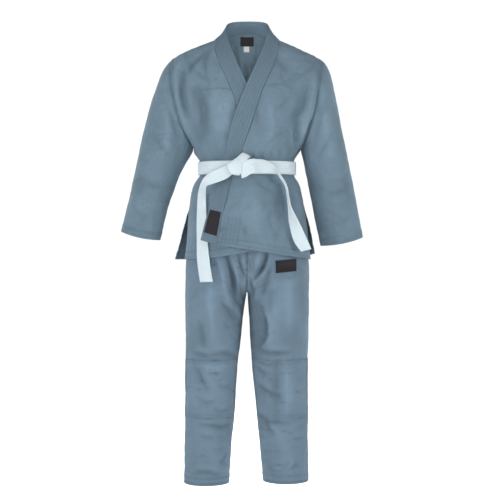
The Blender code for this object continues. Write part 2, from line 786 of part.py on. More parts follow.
def belt_out(x, y):
    # How far the wraps stand off the waist: more in front, over both collar bands.
    if y > 0:
        return BELT_CLEAR
    over = over_lift(x - BELT_SHIFT, BELT_Z) * (1 - ramp(-x, *BELT_BACK_X))
    band = BELT_BAND_RISE * (1 - ramp(abs(x - BELT_BAND_X), *BELT_BAND_FADE))
    return BELT_CLEAR + over + band


def build_wraps(name, material):
    outer, inner = [], []
    faces = []
    edges = (-BELT_WIDTH / 2, 0, BELT_WIDTH / 2)
    for j in range(BELT_AROUND):
        angle = 2 * math.pi * j / BELT_AROUND
        face = -1 if math.cos(angle) > 0 else 1
        x = body_half(BELT_Z, math.sin(angle)) * math.sin(angle)
        base = body_point(x, BELT_Z, face)
        if abs(math.cos(angle)) < 1e-6:
            base.y = 0
        normal = Vector((*body_normal(base).xy, 0)).normalized()
        middle = BELT_Z + BELT_TILT * base.y / BODY_DEPTH
        for edge in edges:
            p = Vector((base.x, base.y, middle + edge)) + normal * belt_out(base.x, base.y)
            inner.append(p)
            outer.append(p + normal * WRAP_CLOTH)
    rows = len(edges)
    for j in range(BELT_AROUND):
        k = (j + 1) % BELT_AROUND
        for i in range(rows - 1):
            faces.append((j * rows + i, k * rows + i, k * rows + i + 1, j * rows + i + 1))
    return wall_object(name, outer, inner, faces, material)


def ribbon_grid(rows, steps):
    grid = []
    for i in range(steps + 1):
        row = dict(zip(RIBBON_COLUMNS, station(rows, i / steps)))
        a = Vector((row["ax"], row["ay"], row["az"]))
        b = Vector((row["bx"], row["by"], row["bz"]))
        grid.append([a, (a + b) / 2, b])
    return grid


def build_ribbon(name, rows, steps, material):
    grid = ribbon_grid(rows, steps)
    normals = grid_normals(grid, False)
    outer = flat_list(moved(grid, normals, BELT_CLOTH / 2))
    inner = flat_list(moved(grid, normals, -BELT_CLOTH / 2))
    faces = grid_faces(len(grid), 3, False)
    return wall_object(name, outer, inner, faces, material)


# Trousers


def leg_point(side, z, u):
    # u runs from the front seam or inner leg (0) by the front and outer side to 1.
    half = column(PELVIS_COLUMNS, PELVIS_ROWS, side_name(side), z)
    front = column(PELVIS_COLUMNS, PELVIS_ROWS, "front", z)
    back = column(PELVIS_COLUMNS, PELVIS_ROWS, "back", z)
    angle = math.pi * u
    deep = front if u < 0.5 else back
    split = Vector((half * math.sin(angle), -deep * math.cos(angle), 0))
    row = {name: column(LEG_COLUMNS, LEG_ROWS[side], name, z) for name in LEG_COLUMNS}
    centre = (row["outer"] + row["inner"]) / 2
    wide = (row["outer"] - row["inner"]) / 2
    deep = row["front"] if u < 0.5 else row["back"]
    round_leg = Vector((centre - wide * math.cos(2 * angle), -deep * math.sin(2 * angle), 0))
    drop = min(1.0, max(0.0, (CROTCH_TOP_Z - z) / (CROTCH_TOP_Z - CROTCH_Z)))
    centre_line = abs(math.cos(angle)) ** 6
    closed = mix(ramp(drop, -0.2, 1), 1 - math.sqrt(1 - drop * drop), centre_line)
    p = split.lerp(round_leg, closed if drop > 0 else 0)
    return Vector((side * max(p.x, SEAM / 2), p.y, z))


def leg_heights():
    crotch = [mix(CROTCH_TOP_Z, CROTCH_Z, math.sin(math.pi / 2 * k / CROTCH_STEPS))
              for k in range(CROTCH_STEPS + 1)]
    return list(PELVIS_HEIGHTS) + crotch + list(LEG_HEIGHTS)


def leg_grid(side, heights, around):
    hem = LEG_ROWS[side][0][0]
    grid = []
    for z in heights + [hem]:
        grid.append([leg_point(side, z, j / around) for j in range(around + 1)])
    normals = leg_normals(grid, heights, around, side)
    for line, line_normals in zip(grid, normals):
        for j, (p, n) in enumerate(zip(line, line_normals)):
            away = ramp(min(j, around - j), 0, 2)
            high = fold_height(p, n, TROUSER_FRONT_FOLDS, TROUSER_BACK_FOLDS)
            line[j] = p + n * high * away
    return grid, leg_normals(grid, heights, around, side)


def leg_normals(grid, heights, around, side):
    normals = grid_normals(grid, False)
    for i, line in enumerate(normals):
        z = grid[i][0].z
        if z <= CROTCH_Z + 0.01:
            across = grid[i][1] - grid[i][around - 1]
            along = grid[min(i + 1, len(grid) - 1)][0] - grid[i - 1 if z < CROTCH_Z else i][0]
            line[0] = line[around] = across.cross(along).normalized()
        else:
            # The seams at the centre keep their inner faces off the centre plane.
            for j in (0, around):
                line[j] = Vector((0, line[j].y, line[j].z)).normalized()
    flip = normals[0][around // 2].x * side < 0
    if flip:
        normals = [[-n for n in line] for line in normals]
    return normals


def build_leg(side, name, material):
    around = LEG_AROUND
    grid, normals = leg_grid(side, leg_heights(), around)
    inner = moved(grid, normals, -TROUSER_CLOTH)
    rows, cols = len(grid), around + 1
    faces = []
    for face in grid_faces(rows, cols, False):
        welded = []
        for v in face:
            i, j = divmod(v, cols)
            shut = grid[i][0].z <= CROTCH_Z + 0.01
            welded.append(i * cols if j == around and shut else v)
        faces.append(tuple(welded))
    return wall_object(name, flat_list(grid), flat_list(inner), faces, material)


def build_waistband(name, material):
    outer, inner = [], []
    around = WAISTBAND_AROUND
    for j in range(around):
        angle = 2 * math.pi * j / around
        side = 1 if math.sin(angle) >= 0 else -1
        u = angle / math.pi if side > 0 else 2 - angle / math.pi
        for z in (WAIST_Z - WAISTBAND_HEIGHT, WAIST_Z):
            p = leg_point(side, z, u)
            if j in (0, around // 2):
                p.x = 0
            away = Vector((p.x, p.y, 0)).normalized()
            outer.append(p)
            inner.append(p - away * WAISTBAND_CLOTH)
    faces = []
    for j in range(around):
        k = (j + 1) % around
        faces.append((2 * j, 2 * k, 2 * k + 1, 2 * j + 1))
    return wall_object(name, outer, inner, faces, material)


def build_knee_patch(side, name, material):
    # Lies on the front of the leg, made from the leg's own points.
    grid, normals = leg_grid(side, leg_heights(), LEG_AROUND)
    first, last = 1, LEG_AROUND // 2 - 1
    rows = [i for i, line in enumerate(grid) if KNEE_BOTTOM_Z <= line[0].z <= KNEE_TOP_Z]
    base = [[grid[i][j] for j in range(first, last + 1)] for i in rows]
    out = [[normals[i][j] for j in range(first, last + 1)] for i in rows]
    inner = flat_list(moved(base, out, SEAM))
    outer = flat_list(moved(base, out, SEAM + TROUSER_CLOTH))
    faces = grid_faces(len(base), len(base[0]), False)
    return wall_object(name, outer, inner, faces, material)


# Labels


def build_back_label(name, label, depth, material):
    # Hangs on the inside of the back, below the neck seam.
    cols, rows = 4, 3
    grid, normals = [], []
    for i in range(rows + 1):
        line, line_normals = [], []
        for j in range(cols + 1):
            x = label["x"] + label["wide"] * j / cols
            z = label["top"] - label["tall"] * i / rows
            base = body_point(x, z, 1)
            line.append(base)
            line_normals.append(body_normal(base))
        grid.append(line)
        normals.append(line_normals)
    outer = flat_list(moved(grid, normals, -depth))
    inner = flat_list(moved(grid, normals, -depth - LABEL_CLOTH))
    return wall_object(name, outer, inner, grid_faces(rows + 1, cols + 1, False), material)


def build_lapel_patch(name, material):
    # On the band near the hem, made from the band's own points.
    band = collar_grid()
    normals = collar_normals(band)
    heights = lapel_heights()
    low, high = LAPEL_PATCH["bottom"], LAPEL_PATCH["top"]
    cols = 2
    grid, out = [], []
    for z in [low] + [h for h in heights if low < h < high] + [high]:
        k = max(n for n, h in enumerate(heights) if h <= z)
        t = (z - heights[k]) / (heights[k + 1] - heights[k])
        line, line_out = [], []
        for j in range(cols + 1):
            s = 2 * mix(LAPEL_PATCH["from"], LAPEL_PATCH["to"], j / cols)
            a = min(1, int(s))
            below = band[k][a].lerp(band[k][a + 1], s - a)
            above = band[k + 1][a].lerp(band[k + 1][a + 1], s - a)
            line.append(below.lerp(above, t))
            line_out.append(normals[k][1].lerp(normals[k + 1][1], t).normalized())
        grid.append(line)
        out.append(line_out)
    inner = flat_list(moved(grid, out, COLLAR_PROUD + PATCH_CLEAR))
    outer = flat_list(moved(grid, out, COLLAR_PROUD + PATCH_CLEAR + LABEL_CLOTH))
    return wall_object(name, outer, inner, grid_faces(len(grid), cols + 1, False), material)


def build_thigh_patch(name, material):
    # On the front of the wearer's left thigh, set off from the leg's surface.
    cols, rows = 5, 3
    patch = THIGH_PATCH
    grid = []
    for i in range(rows + 1):
        line = []
        for j in range(cols + 1):
            x = mix(patch["x0"], patch["x1"], j / cols)
            z = patch["top"] - patch["tall"] * i / rows + patch["slant"] * (j / cols)
            line.append(Vector((x, thigh_y(x, z), z)))
        grid.append(line)
    normals = grid_normals(grid, False)
    if normals[0][0].y > 0:
        normals = [[-n for n in line] for line in normals]
    inner = flat_list(moved(grid, normals, SEAM))
    outer = flat_list(moved(grid, normals, SEAM + LABEL_CLOTH))
    return wall_object(name, outer, inner, grid_faces(rows + 1, cols + 1, False), material)


def thigh_y(x, z):
    # The foremost faces of the coarse leg at x and z, so the patch clears its chords.
    best = 0.0
    heights = leg_heights()
    below = min(h for h in heights if h > z)
    above = max(h for h in heights if h <= z)
    for height in (below, above, z):
        low, high = 0.0, 0.5
        for _ in range(24):
            middle = (low + high) / 2
            if leg_point(1, height, middle).x < x:
                low = middle
            else:
                high = middle
        best = min(best, leg_point(1, height, low).y)
    return best + THIGH_PATCH_SET


def main():
    for thing in list(bpy.data.objects):
        bpy.data.objects.remove(thing)
    blue = cloth_material("gi_cotton", (0.152, 0.238, 0.306), 0.9)
    drill = cloth_material("trouser_drill", (0.147, 0.228, 0.296), 0.88)
    white = cloth_material("belt_cotton", (0.72, 0.76, 0.76), 0.85)
    dark = cloth_material("label_dark", (0.02, 0.018, 0.022), 0.6)
    tag = cloth_material("size_tag_white", (0.7, 0.7, 0.7), 0.6)
    build_back("jacket_back", blue)
    build_front(1, True, "jacket_front_over", blue)
    build_front(-1, False, "jacket_front_under", blue)
    build_sleeve(1, "sleeve_left", blue)
    build_sleeve(-1, "sleeve_right", blue)
    build_collar("collar_band", blue)
    build_wraps("belt_wraps", white)
    build_ribbon("belt_knot", KNOT_LOOP_ROWS, KNOT_STEPS, white)
    build_ribbon("belt_tail_right", RIGHT_TAIL_ROWS, RIGHT_TAIL_STEPS, white)
    build_ribbon("belt_tail_left", LEFT_TAIL_ROWS, LEFT_TAIL_STEPS, white)
    build_leg(1, "trouser_leg_left", drill)
    build_leg(-1, "trouser_leg_right", drill)
    build_waistband("trouser_waistband", drill)
    build_knee_patch(1, "knee_patch_left", drill)
    build_knee_patch(-1, "knee_patch_right", drill)
    build_back_label("neck_label", NECK_LABEL, JACKET_CLOTH + LABEL_CLEAR, dark)
    build_back_label("size_tag", SIZE_TAG, JACKET_CLOTH + LABEL_CLEAR, tag)
    build_lapel_patch("lapel_patch", dark)
    build_thigh_patch("thigh_patch", dark)


main()
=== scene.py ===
import math

import bpy
import numpy as np
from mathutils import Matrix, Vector
from mathutils.bvhtree import BVHTree
from mathutils.kdtree import KDTree


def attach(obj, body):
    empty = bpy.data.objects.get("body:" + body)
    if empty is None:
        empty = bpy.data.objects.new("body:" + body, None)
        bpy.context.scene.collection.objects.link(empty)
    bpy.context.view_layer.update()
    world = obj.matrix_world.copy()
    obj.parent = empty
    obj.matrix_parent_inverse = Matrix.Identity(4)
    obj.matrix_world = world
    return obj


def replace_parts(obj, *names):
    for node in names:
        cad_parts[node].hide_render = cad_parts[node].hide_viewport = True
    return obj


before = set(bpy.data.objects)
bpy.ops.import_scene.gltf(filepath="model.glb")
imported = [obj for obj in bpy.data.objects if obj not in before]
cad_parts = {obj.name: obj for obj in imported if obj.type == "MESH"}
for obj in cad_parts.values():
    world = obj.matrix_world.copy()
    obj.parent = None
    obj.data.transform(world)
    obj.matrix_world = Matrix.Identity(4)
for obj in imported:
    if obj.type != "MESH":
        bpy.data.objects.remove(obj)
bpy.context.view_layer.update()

mm = 0.001

studio = {
    "cameraX": 9.4, "cameraY": -3200.0, "cameraZ": -655.0, "lens": 73.8, "sensor": 36.0,
    "floorZ": -1640.0, "reach": 9000.0, "floorColour": (0.93, 0.935, 0.94), "floorGlow": 0.9,
    "worldColour": (0.97, 0.985, 1.0), "worldStrength": 0.20, "backdropStrength": 1.04,
}

lamps = {
    "rightSoftbox": {"place": (-2900, -1900, -250), "size": 1500, "power": 61.0},
    "leftSoftbox": {"place": (3000, -1900, -350), "size": 1500, "power": 61.0},
    "frontFill": {"place": (-250, -3400, -1300), "size": 1200, "power": 48.0},
    "topFill": {"place": (0, -1500, 2200), "size": 1300, "power": 26.0},
    "backRight": {"place": (-2300, 2500, 300), "size": 1700, "power": 70.0},
    "backLeft": {"place": (2300, 2500, 300), "size": 1700, "power": 70.0},
    "neckFill": {"place": (0, -62, -120), "size": 90, "power": 0.06, "aim": (0, 60, -15), "spread": 95},
}

gi = {
    "creaseDeep": 1.7,  # how deep the creases are, against their tables
    "waves": ((11, 110, 0.8), (5, 40, 0.45)),  # unevenness of the cloth: seed, length, height
    "hemHigh": 0.9, "hemWide": 25, "hemEdge": (1.5, 2),  # a folded hem stands proud
    # The seam's darkness is painted shade along its valley.
    "seamDeep": 0.9, "seamWide": 3.0, "seamShade": 2.0,  # the valley along a seam
    "puckerHigh": 0.5, "puckerWave": 15.0, "puckerWide": 13.0,  # small gathers along seams
    "beltZ": -404, "beltWide": 26,  # where the belt ties the jacket in
    "calmEdge": 9,  # how wide the creases fade out beside a label
    "foldFull": 4,  # height of a fold that has its full shade
}
# Shape of one crease, in shares of its half width and depth
crease = {"coreShare": 0.5, "coreWide": 0.4, "lipHigh": 0.3, "lipAt": 1.7, "lipWide": 0.9,
          "taper": 0.8, "sideFade": 1.6}

# Creases seen from the front: half width, depth (a ridge is negative), then points x, z.
# Those seen from behind are given in the same x and z.
jacketFrontCreases = (
    (12, 3.2, (-105, -27), (-166, -87), (-174, -118)),
    (11, 2.6, (-108, -38), (-127, -81), (-123, -141)),
    (13, -4.0, (-202, -75), (-217, -111), (-214, -171), (-202, -232), (-175, -317)),
    (13, 4.6, (-190, -98), (-200, -171), (-191, -217), (-184, -262)),
    (27, 5.0, (-162, -150), (-127, -232), (-142, -332)),
    (44, -5.0, (-80, -165), (-83, -232), (-76, -300)),
    (13, -4.0, (212, -117), (203, -202), (191, -256), (173, -301), (160, -344)),
    (15, 5.2, (190, -140), (167, -217), (149, -247), (148, -292), (145, -366)),
    (9, -2.4, (140, -262), (138, -322), (144, -364)),
    (9, 3.4, (197, -250), (185, -286), (164, -346)),
    (16, 2.4, (70, -60), (108, -92), (128, -124)),
    (22, -2.6, (60, -190), (76, -260), (70, -345)),
    (6, 1.8, (14, -362), (17, -374), (16, -386)),
    (6, -1.8, (27, -360), (30, -372), (29, -384)),
    (6, 1.8, (45, -360), (47, -374), (45, -388)),
    (7, 1.6, (70, -352), (74, -366), (72, -384)),
    (8, 1.6, (98, -348), (101, -364), (96, -384)),
    (30, -1.6, (0, -440), (24, -520), (20, -610)),
    (20, 0.7, (84, -440), (96, -520), (110, -620)),
    (12, 2.2, (20, -432), (46, -462), (86, -486)),
    (14, 2.0, (128, -440), (140, -500), (132, -560)),
    (9, 1.4, (-30, -560), (-8, -590), (-2, -632)),
    (14, 2.4, (-130, -440), (-140, -520), (-136, -600)),
)
jacketBackCreases = (
    (8, 3.2, (-36, 10), (-32, -50), (-24, -168)),
    (6, 3.6, (-10, -44), (-3, -80), (-9, -132)),
    (7, -2.6, (5, -50), (10, -90), (4, -190)),
    (7, 3.8, (33, 12), (27, -40), (36, -118)),
    (5, 3.0, (20, -44), (15, -80), (24, -176)),
    (8, -2.8, (-48, 6), (-42, -50), (-47, -104)),
    (9, 3.0, (46, 10), (48, -30), (56, -142)),
    (14, 4.4, (-206, -110), (-196, -190), (-160, -290)),
    (14, 4.4, (208, -116), (192, -200), (158, -282)),
    (26, 3.6, (-120, -96), (-110, -180), (-122, -270)),
    (24, 3.2, (104, -110), (112, -190), (98, -286)),
    (18, 3.4, (-132, -290), (-80, -336), (-50, -362)),
    (16, 3.0, (128, -296), (92, -336), (58, -364)),
    (34, -3.2, (-10, -90), (6, -190), (-4, -300)),
    (12, 2.2, (-40, -120), (10, -138), (58, -122)),
    (7, 1.8, (-60, -356), (-62, -372), (-58, -386)),
    (7, 1.8, (-24, -352), (-28, -370), (-22, -386)),
    (7, 1.6, (20, -354), (24, -370), (20, -386)),
    (7, 1.8, (66, -354), (70, -370), (64, -386)),
    (18, 3.8, (-84, -436), (-100, -520), (-116, -640)),
    (16, 3.6, (58, -438), (70, -530), (84, -648)),
    (26, -3.4, (-16, -440), (-20, -540), (-18, -650)),
    (12, 2.4, (118, -442), (136, -500), (140, -560)),
)
sleeveFrontCreases = (
    (14, 3.8, (-250, -196), (-226, -260), (-208, -322)),
    (12, 3.0, (-292, -290), (-262, -336), (-228, -372)),
    (22, -3.6, (-236, -200), (-240, -310), (-268, -410)),
    (20, 2.8, (-318, -330), (-326, -420), (-342, -500)),
    (13, 2.6, (-326, -430), (-296, -452), (-262, -462)),
    (12, 1.8, (-350, -520), (-322, -548), (-290, -556)),
    (13, 3.2, (246, -180), (226, -250), (206, -326)),
    (12, 3.2, (266, -286), (236, -340), (208, -384)),
    (22, -3.4, (234, -150), (236, -250), (258, -380)),
    (18, 2.6, (296, -330), (300, -420), (316, -520)),
    (12, 2.4, (318, -452), (284, -476), (244, -486)),
    (10, 1.6, (330, -540), (300, -566), (262, -574)),
)
sleeveBackCreases = (
    (14, 3.8, (-262, -170), (-236, -240), (-210, -320)),
    (12, 3.2, (-300, -300), (-262, -350), (-232, -386)),
    (20, -3.0, (-280, -200), (-290, -320), (-318, -440)),
    (12, 3.0, (-334, -410), (-300, -446), (-258, -466)),
    (12, 2.0, (-350, -500), (-318, -536), (-284, -552)),
    (14, 3.8, (258, -176), (234, -250), (208, -330)),
    (12, 3.0, (278, -280), (244, -344), (212, -392)),
    (20, -3.0, (262, -200), (268, -320), (290, -440)),
    (12, 3.0, (310, -420), (276, -462), (236, -484)),
    (12, 2.0, (328, -520), (296, -556), (256, -574)),
)
trouserFrontCreases = (
    (7, 8.2, (-72, -650), (-51, -706), (-42, -740), (-34, -788), (-20, -832)),
    (6, 4.0, (-31, -650), (-18, -706), (-4, -742)),
    (6.5, 7.6, (66, -640), (57, -688), (43, -718), (18, -750)),
    (16, -4.0, (-100, -650), (-80, -706), (-66, -770), (-50, -830)),
    (12, -3.0, (44, -646), (36, -680), (20, -714)),
    (12, 3.2, (82, -690), (60, -740), (44, -800)),
    (4, 1.6, (4, -676), (10, -700), (7, -726)),
    (4, 1.6, (17, -680), (21, -700), (15, -722)),
    (6, 2.6, (-26, -745), (-20, -780), (-17, -812)),
    (9, -2.4, (0, -752), (1, -776), (1, -796)),
    (6, 2.6, (10, -736), (16, -770), (20, -806)),
    (9, 3.4, (-80, -808), (-48, -845), (-26, -872)),
    (7, 2.2, (-44, -876), (-30, -884), (-18, -892)),
    (24, -2.6, (-118, -690), (-112, -800), (-104, -930)),
    (20, 2.6, (-142, -860), (-137, -910), (-128, -962)),
    (9, 3.2, (-166, -968), (-138, -974), (-108, -982)),
    (9, 3.2, (-112, -977), (-66, -969), (-28, -992)),
    (15, -2.6, (-150, -1004), (-100, -1010), (-50, -1012)),
    (11, 3.0, (-148, -1012), (-139, -1048), (-116, -1088)),
    (9, 2.2, (-92, -1062), (-70, -1074), (-44, -1070)),
    (9, 2.0, (-156, -1106), (-120, -1120), (-88, -1112)),
    (8, 1.8, (-104, -1140), (-78, -1150), (-46, -1138)),
    (9, 3.4, (-160, -1190), (-114, -1191), (-81, -1199), (-40, -1188)),
    (9, 2.4, (-152, -1218), (-124, -1228), (-98, -1230)),
    (9, 2.2, (-84, -1318), (-70, -1298), (-56, -1274)),
    (9, 3.0, (-174, -1346), (-142, -1333), (-112, -1336), (-76, -1352)),
    (10, 8.6, (38, -836), (49, -866), (55, -891), (49, -921), (20, -956)),
    (24, 5.6, (30, -800), (38, -880), (38, -960)),
    (16, 1.8, (72, -760), (70, -810), (66, -866)),
    (9, 3.6, (20, -952), (55, -966), (100, -969), (138, -969)),
    (22, 2.4, (92, -972), (88, -1060), (92, -1200)),
    (16, -2.6, (120, -1000), (124, -1080), (120, -1160)),
    (9, 2.8, (20, -1008), (40, -1024), (60, -1040)),
    (9, 3.0, (24, -1062), (64, -1090), (108, -1108)),
    (9, 3.2, (30, -1160), (67, -1181), (100, -1181), (140, -1185)),
    (9, 2.6, (50, -1178), (68, -1202), (88, -1226)),
    (7, 2.2, (62, -1322), (88, -1336), (116, -1326)),
    (6, 1.8, (70, -1342), (92, -1350), (112, -1346)),
    (8, 2.0, (136, -1330), (148, -1316), (160, -1300)),
    (26, -2.4, (128, -700), (132, -800), (128, -920)),
)
trouserBackCreases = (
    (12, 5.0, (-150, -690), (-110, -740), (-60, -792)),
    (12, 5.0, (152, -696), (108, -746), (58, -796)),
    (14, 4.2, (-166, -840), (-118, -866), (-66, -872)),
    (14, 4.2, (168, -836), (120, -862), (64, -876)),
    (11, 3.4, (-40, -690), (-26, -740), (-20, -796)),
    (10, 3.0, (34, -684), (26, -736), (20, -790)),
    (24, -3.0, (-112, -880), (-106, -960), (-110, -1030)),
    (22, -3.0, (112, -880), (110, -960), (108, -1030)),
    (12, 4.0, (-168, -1040), (-118, -1066), (-58, -1078)),
    (12, 4.0, (166, -1046), (116, -1070), (56, -1082)),
    (10, 3.2, (-160, -1100), (-112, -1122), (-66, -1122)),
    (10, 3.2, (160, -1104), (114, -1126), (64, -1128)),
    (11, 2.8, (-166, -1222), (-120, -1236), (-78, -1228)),
    (11, 2.6, (162, -1214), (118, -1230), (70, -1226)),
    (11, 3.2, (-168, -1310), (-122, -1326), (-74, -1318)),
    (11, 3.2, (164, -1296), (118, -1322), (68, -1316)),
)


def say(stage):
    print("gi:", stage)


# Meshes as arrays

def smoothStep(value, start, end):
    t = np.clip((value - start) / (end - start), 0.0, 1.0)
    return t * t * (3 - 2 * t)


def faceNormals(points, faces):
    a, b, c = (points[faces[:, k]] for k in range(3))
    return np.cross(b - a, c - a)


def pointNormals(points, faces):
    normals = np.zeros_like(points)
    flat = faceNormals(points, faces)
    for k in range(3):
        np.add.at(normals, faces[:, k], flat)
    return normals / np.maximum(np.linalg.norm(normals, axis=1, keepdims=True), 1e-12)


def largestStretch(beside, areas):
    # Which faces belong to the largest group that hangs together.
    seen = np.full(len(beside), -1)
    best, bestArea = 0, 0.0
    for start in range(len(beside)):
        if seen[start] >= 0:
            continue
        stack, total = [start], 0.0
        seen[start] = start
        while stack:
            f = stack.pop()
            total += areas[f]
            for g in beside[f]:
                if seen[g] < 0:
                    seen[g] = start
                    stack.append(g)
        if total > bestArea:
            best, bestArea = start, total
    return seen == best


def nodeSheet(name, sharp=40.0):
    # The outer skin of a CAD wall, welded: its largest stretch without a sharp edge.
    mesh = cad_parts[name].data
    mesh.calc_loop_triangles()
    raw = np.array([v.co for v in mesh.vertices]) / mm
    keys, index = np.unique(np.round(raw, 3), axis=0, return_inverse=True)
    index = index.reshape(-1)
    points = np.zeros_like(keys)
    points[index] = raw
    faces = index[np.array([t.vertices for t in mesh.loop_triangles])]
    normals = faceNormals(points, faces)
    areas = np.linalg.norm(normals, axis=1)
    units = normals / areas[:, None]
    touching = {}
    for f, face in enumerate(faces):
        for a, b in zip(face, np.roll(face, -1)):
            touching.setdefault((min(a, b), max(a, b)), []).append(f)
    beside = [[] for _ in faces]
    limit = math.cos(math.radians(sharp))
    for pair in touching.values():
        if len(pair) == 2 and units[pair[0]].dot(units[pair[1]]) > limit:
            beside[pair[0]].append(pair[1])
            beside[pair[1]].append(pair[0])
    used, kept = np.unique(faces[largestStretch(beside, areas)], return_inverse=True)
    return points[used], kept.reshape(-1, 3)


def sheetEdges(faces):
    # Unique edges, the edges of each face, and how many faces share each edge.
    sides = np.sort(faces[:, [0, 1, 1, 2, 2, 0]].reshape(-1, 2), axis=1)
    edges, index, counts = np.unique(sides, axis=0, return_inverse=True, return_counts=True)
    return edges, index.reshape(-1, 3), counts


def smoothRim(points, moved, rim):
    # The open edges' own points in one step of Loop's scheme, their sharp corners unmoved.
    beside = {}
    for a, b in rim:
        beside.setdefault(a, []).append(b)
        beside.setdefault(b, []).append(a)
    for v, pair in beside.items():
        straight = False
        if len(pair) == 2:
            p, q = (points[w][:3] - points[v][:3] for w in pair)
            straight = p.dot(q) <= -0.7 * np.linalg.norm(p) * np.linalg.norm(q)
        if straight:
            moved[v] = points[v] * 3 / 4 + (points[pair[0]] + points[pair[1]]) / 8
        else:
            moved[v] = points[v]


def subdivide(points, faces, times):
    # Loop's scheme: each triangle into four, smoothed.
    for _ in range(times):
        edges, ofFace, counts = sheetEdges(faces)
        n = len(points)
        opposite = np.zeros((len(edges), points.shape[1]))
        for k in range(3):
            np.add.at(opposite, ofFace[:, k], points[faces[:, (k + 2) % 3]])
        inner = counts == 2
        ends = points[edges[:, 0]] + points[edges[:, 1]]
        middle = ends / 2
        middle[inner] = ends[inner] * 3 / 8 + opposite[inner] / 8
        around = np.zeros_like(points)
        count = np.zeros(n)
        for k in (0, 1):
            np.add.at(around, edges[:, k], points[edges[:, 1 - k]])
            np.add.at(count, edges[:, k], 1)
        beta = np.where(count == 3, 3 / 16, 3 / (8 * np.maximum(count, 1)))
        moved = points * (1 - count * beta)[:, None] + around * beta[:, None]
        smoothRim(points, moved, edges[~inner])
        m = ofFace + n
        faces = np.concatenate((
            np.stack((faces[:, 0], m[:, 0], m[:, 2]), axis=1),
            np.stack((faces[:, 1], m[:, 1], m[:, 0]), axis=1),
            np.stack((faces[:, 2], m[:, 2], m[:, 1]), axis=1),
            m,
        ))
        points = np.concatenate((moved, middle))
    return points, faces


def rimLoops(faces):
    # The open edges as closed runs of points, the skin on their left.
    sides = set()
    for a, b, c in faces.tolist():
        sides.update(((a, b), (b, c), (c, a)))
    follow = {a: b for a, b in sides if (b, a) not in sides}
    loops, left = [], set(follow)
    while left:
        v = min(left)
        loop = []
        while v in left:
            loop.append(v)
            left.discard(v)
            v = follow[v]
        loops.append(loop)
    return loops


def rimCorners(points, faces, bend=50.0):
    corners = set()
    for loop in rimLoops(faces):
        loop = np.array(loop)
        step = points[np.roll(loop, -1)] - points[loop]
        step /= np.linalg.norm(step, axis=1, keepdims=True)
        turn = np.einsum("ij,ij->i", step, np.roll(step, 1, axis=0))
        corners.update(loop[turn < math.cos(math.radians(bend))].tolist())
    return corners


def rimEdges(faces, corners):
    # The open edges cut at their corners, each an array of point numbers.
    edges = []
    for loop in rimLoops(faces):
        cuts = [k for k, v in enumerate(loop) if v in corners]
        if not cuts:
            edges.append(np.array(loop + loop[:1]))
            continue
        loop = loop[cuts[0]:] + loop[:cuts[0]]
        cuts = [k - cuts[0] for k in cuts] + [len(loop)]
        loop.append(loop[0])
        edges += [np.array(loop[a:b + 1]) for a, b in zip(cuts, cuts[1:])]
    return edges


def nearestOn(points, line):
    # Number and distance of the point of a close-set line that is nearest to each point.
    tree = KDTree(len(line))
    for k, p in enumerate(line):
        tree.insert(p, k)
    tree.balance()
    hits = [tree.find(p) for p in points.tolist()]
    return np.array([k for _, k, _ in hits]), np.array([far for _, _, far in hits])


def distanceTo(points, line):
    return nearestOn(points, line)[1]


def smoothLine(points, steps=6):
    # A curve through a few points, with even steps between them.
    p = np.array(points, float)
    p = np.concatenate((2 * p[:1] - p[1:2], p, 2 * p[-1:] - p[-2:-1]))
    out = []
    for a, b, c, d in zip(p, p[1:], p[2:], p[3:]):
        for k in range(steps):
            t = k / steps
            out.append(0.5 * (2 * b + (c - a) * t + (2 * a - 5 * b + 4 * c - d) * t * t
                              + (3 * b - a - 3 * c + d) * t ** 3))
    out.append(p[-2])
    return np.array(out)


def besideCurve(spots, curve):
    # Distance from a curve, place along it from 0 to 1, and which side of it, for flat spots.
    gap = np.full(len(spots), 1e9)
    place = np.zeros(len(spots))
    sign = np.zeros(len(spots))
    count = len(curve) - 1
    for k in range(count):
        d = curve[k + 1] - curve[k]
        away = spots - curve[k]
        s = np.clip(away.dot(d) / d.dot(d), 0, 1)
        far = np.linalg.norm(away - s[:, None] * d, axis=1)
        closer = far < gap
        gap = np.where(closer, far, gap)
        place = np.where(closer, (k + s) / count, place)
        sign = np.where(closer, np.sign(d[0] * away[:, 1] - d[1] * away[:, 0]), sign)
    return gap, place, sign


def creaseHeight(points, normals, frontRows, backRows):
    # Soft troughs and ridges, tapered at both ends, with one lip higher than the other.
    core = crease["coreShare"]
    total = np.zeros(len(points))
    for rows, side in ((frontRows, -1), (backRows, 1)):
        on = np.nonzero(normals[:, 1] * side > 0)[0]
        flat = points[on][:, [0, 2]]
        height = np.zeros(len(on))
        for wide, deep, *line in rows:
            curve = smoothLine(line)
            low, high = curve.min(0) - 4 * wide, curve.max(0) + 4 * wide
            near = np.nonzero(((flat > low) & (flat < high)).all(1))[0]
            if len(near) == 0:
                continue
            gap, place, sign = besideCurve(flat[near], curve)
            taper = np.sin(math.pi * place) ** crease["taper"]
            trough = -(1 - core) * np.exp(-(gap / wide) ** 2)
            trough -= core * np.exp(-(gap / (crease["coreWide"] * wide)) ** 2)
            lip = (gap * sign - crease["lipAt"] * wide) / (crease["lipWide"] * wide)
            height[near] += deep * (trough + crease["lipHigh"] * np.exp(-lip ** 2)) * taper
        total[on] += height
    return total * np.clip(np.abs(normals[:, 1]) * crease["sideFade"], 0, 1)


def smallCreases(seed, count, low, high, lean, spread, long, wide, deep):
    # Short wrinkles strewn over a part of the front or back view, in the tables' form.
    rng = np.random.default_rng(seed)
    rows = []
    for _ in range(count):
        middle = rng.uniform(low, high)
        angle = math.radians(lean + rng.uniform(-spread, spread))
        half = np.array([math.cos(angle), math.sin(angle)]) * rng.uniform(*long) / 2
        bend = np.array([-half[1], half[0]]) * rng.uniform(-0.35, 0.35)
        rows.append((rng.uniform(*wide), rng.uniform(*deep), tuple(middle - half),
                     tuple(middle + bend), tuple(middle + half)))
    return tuple(rows)


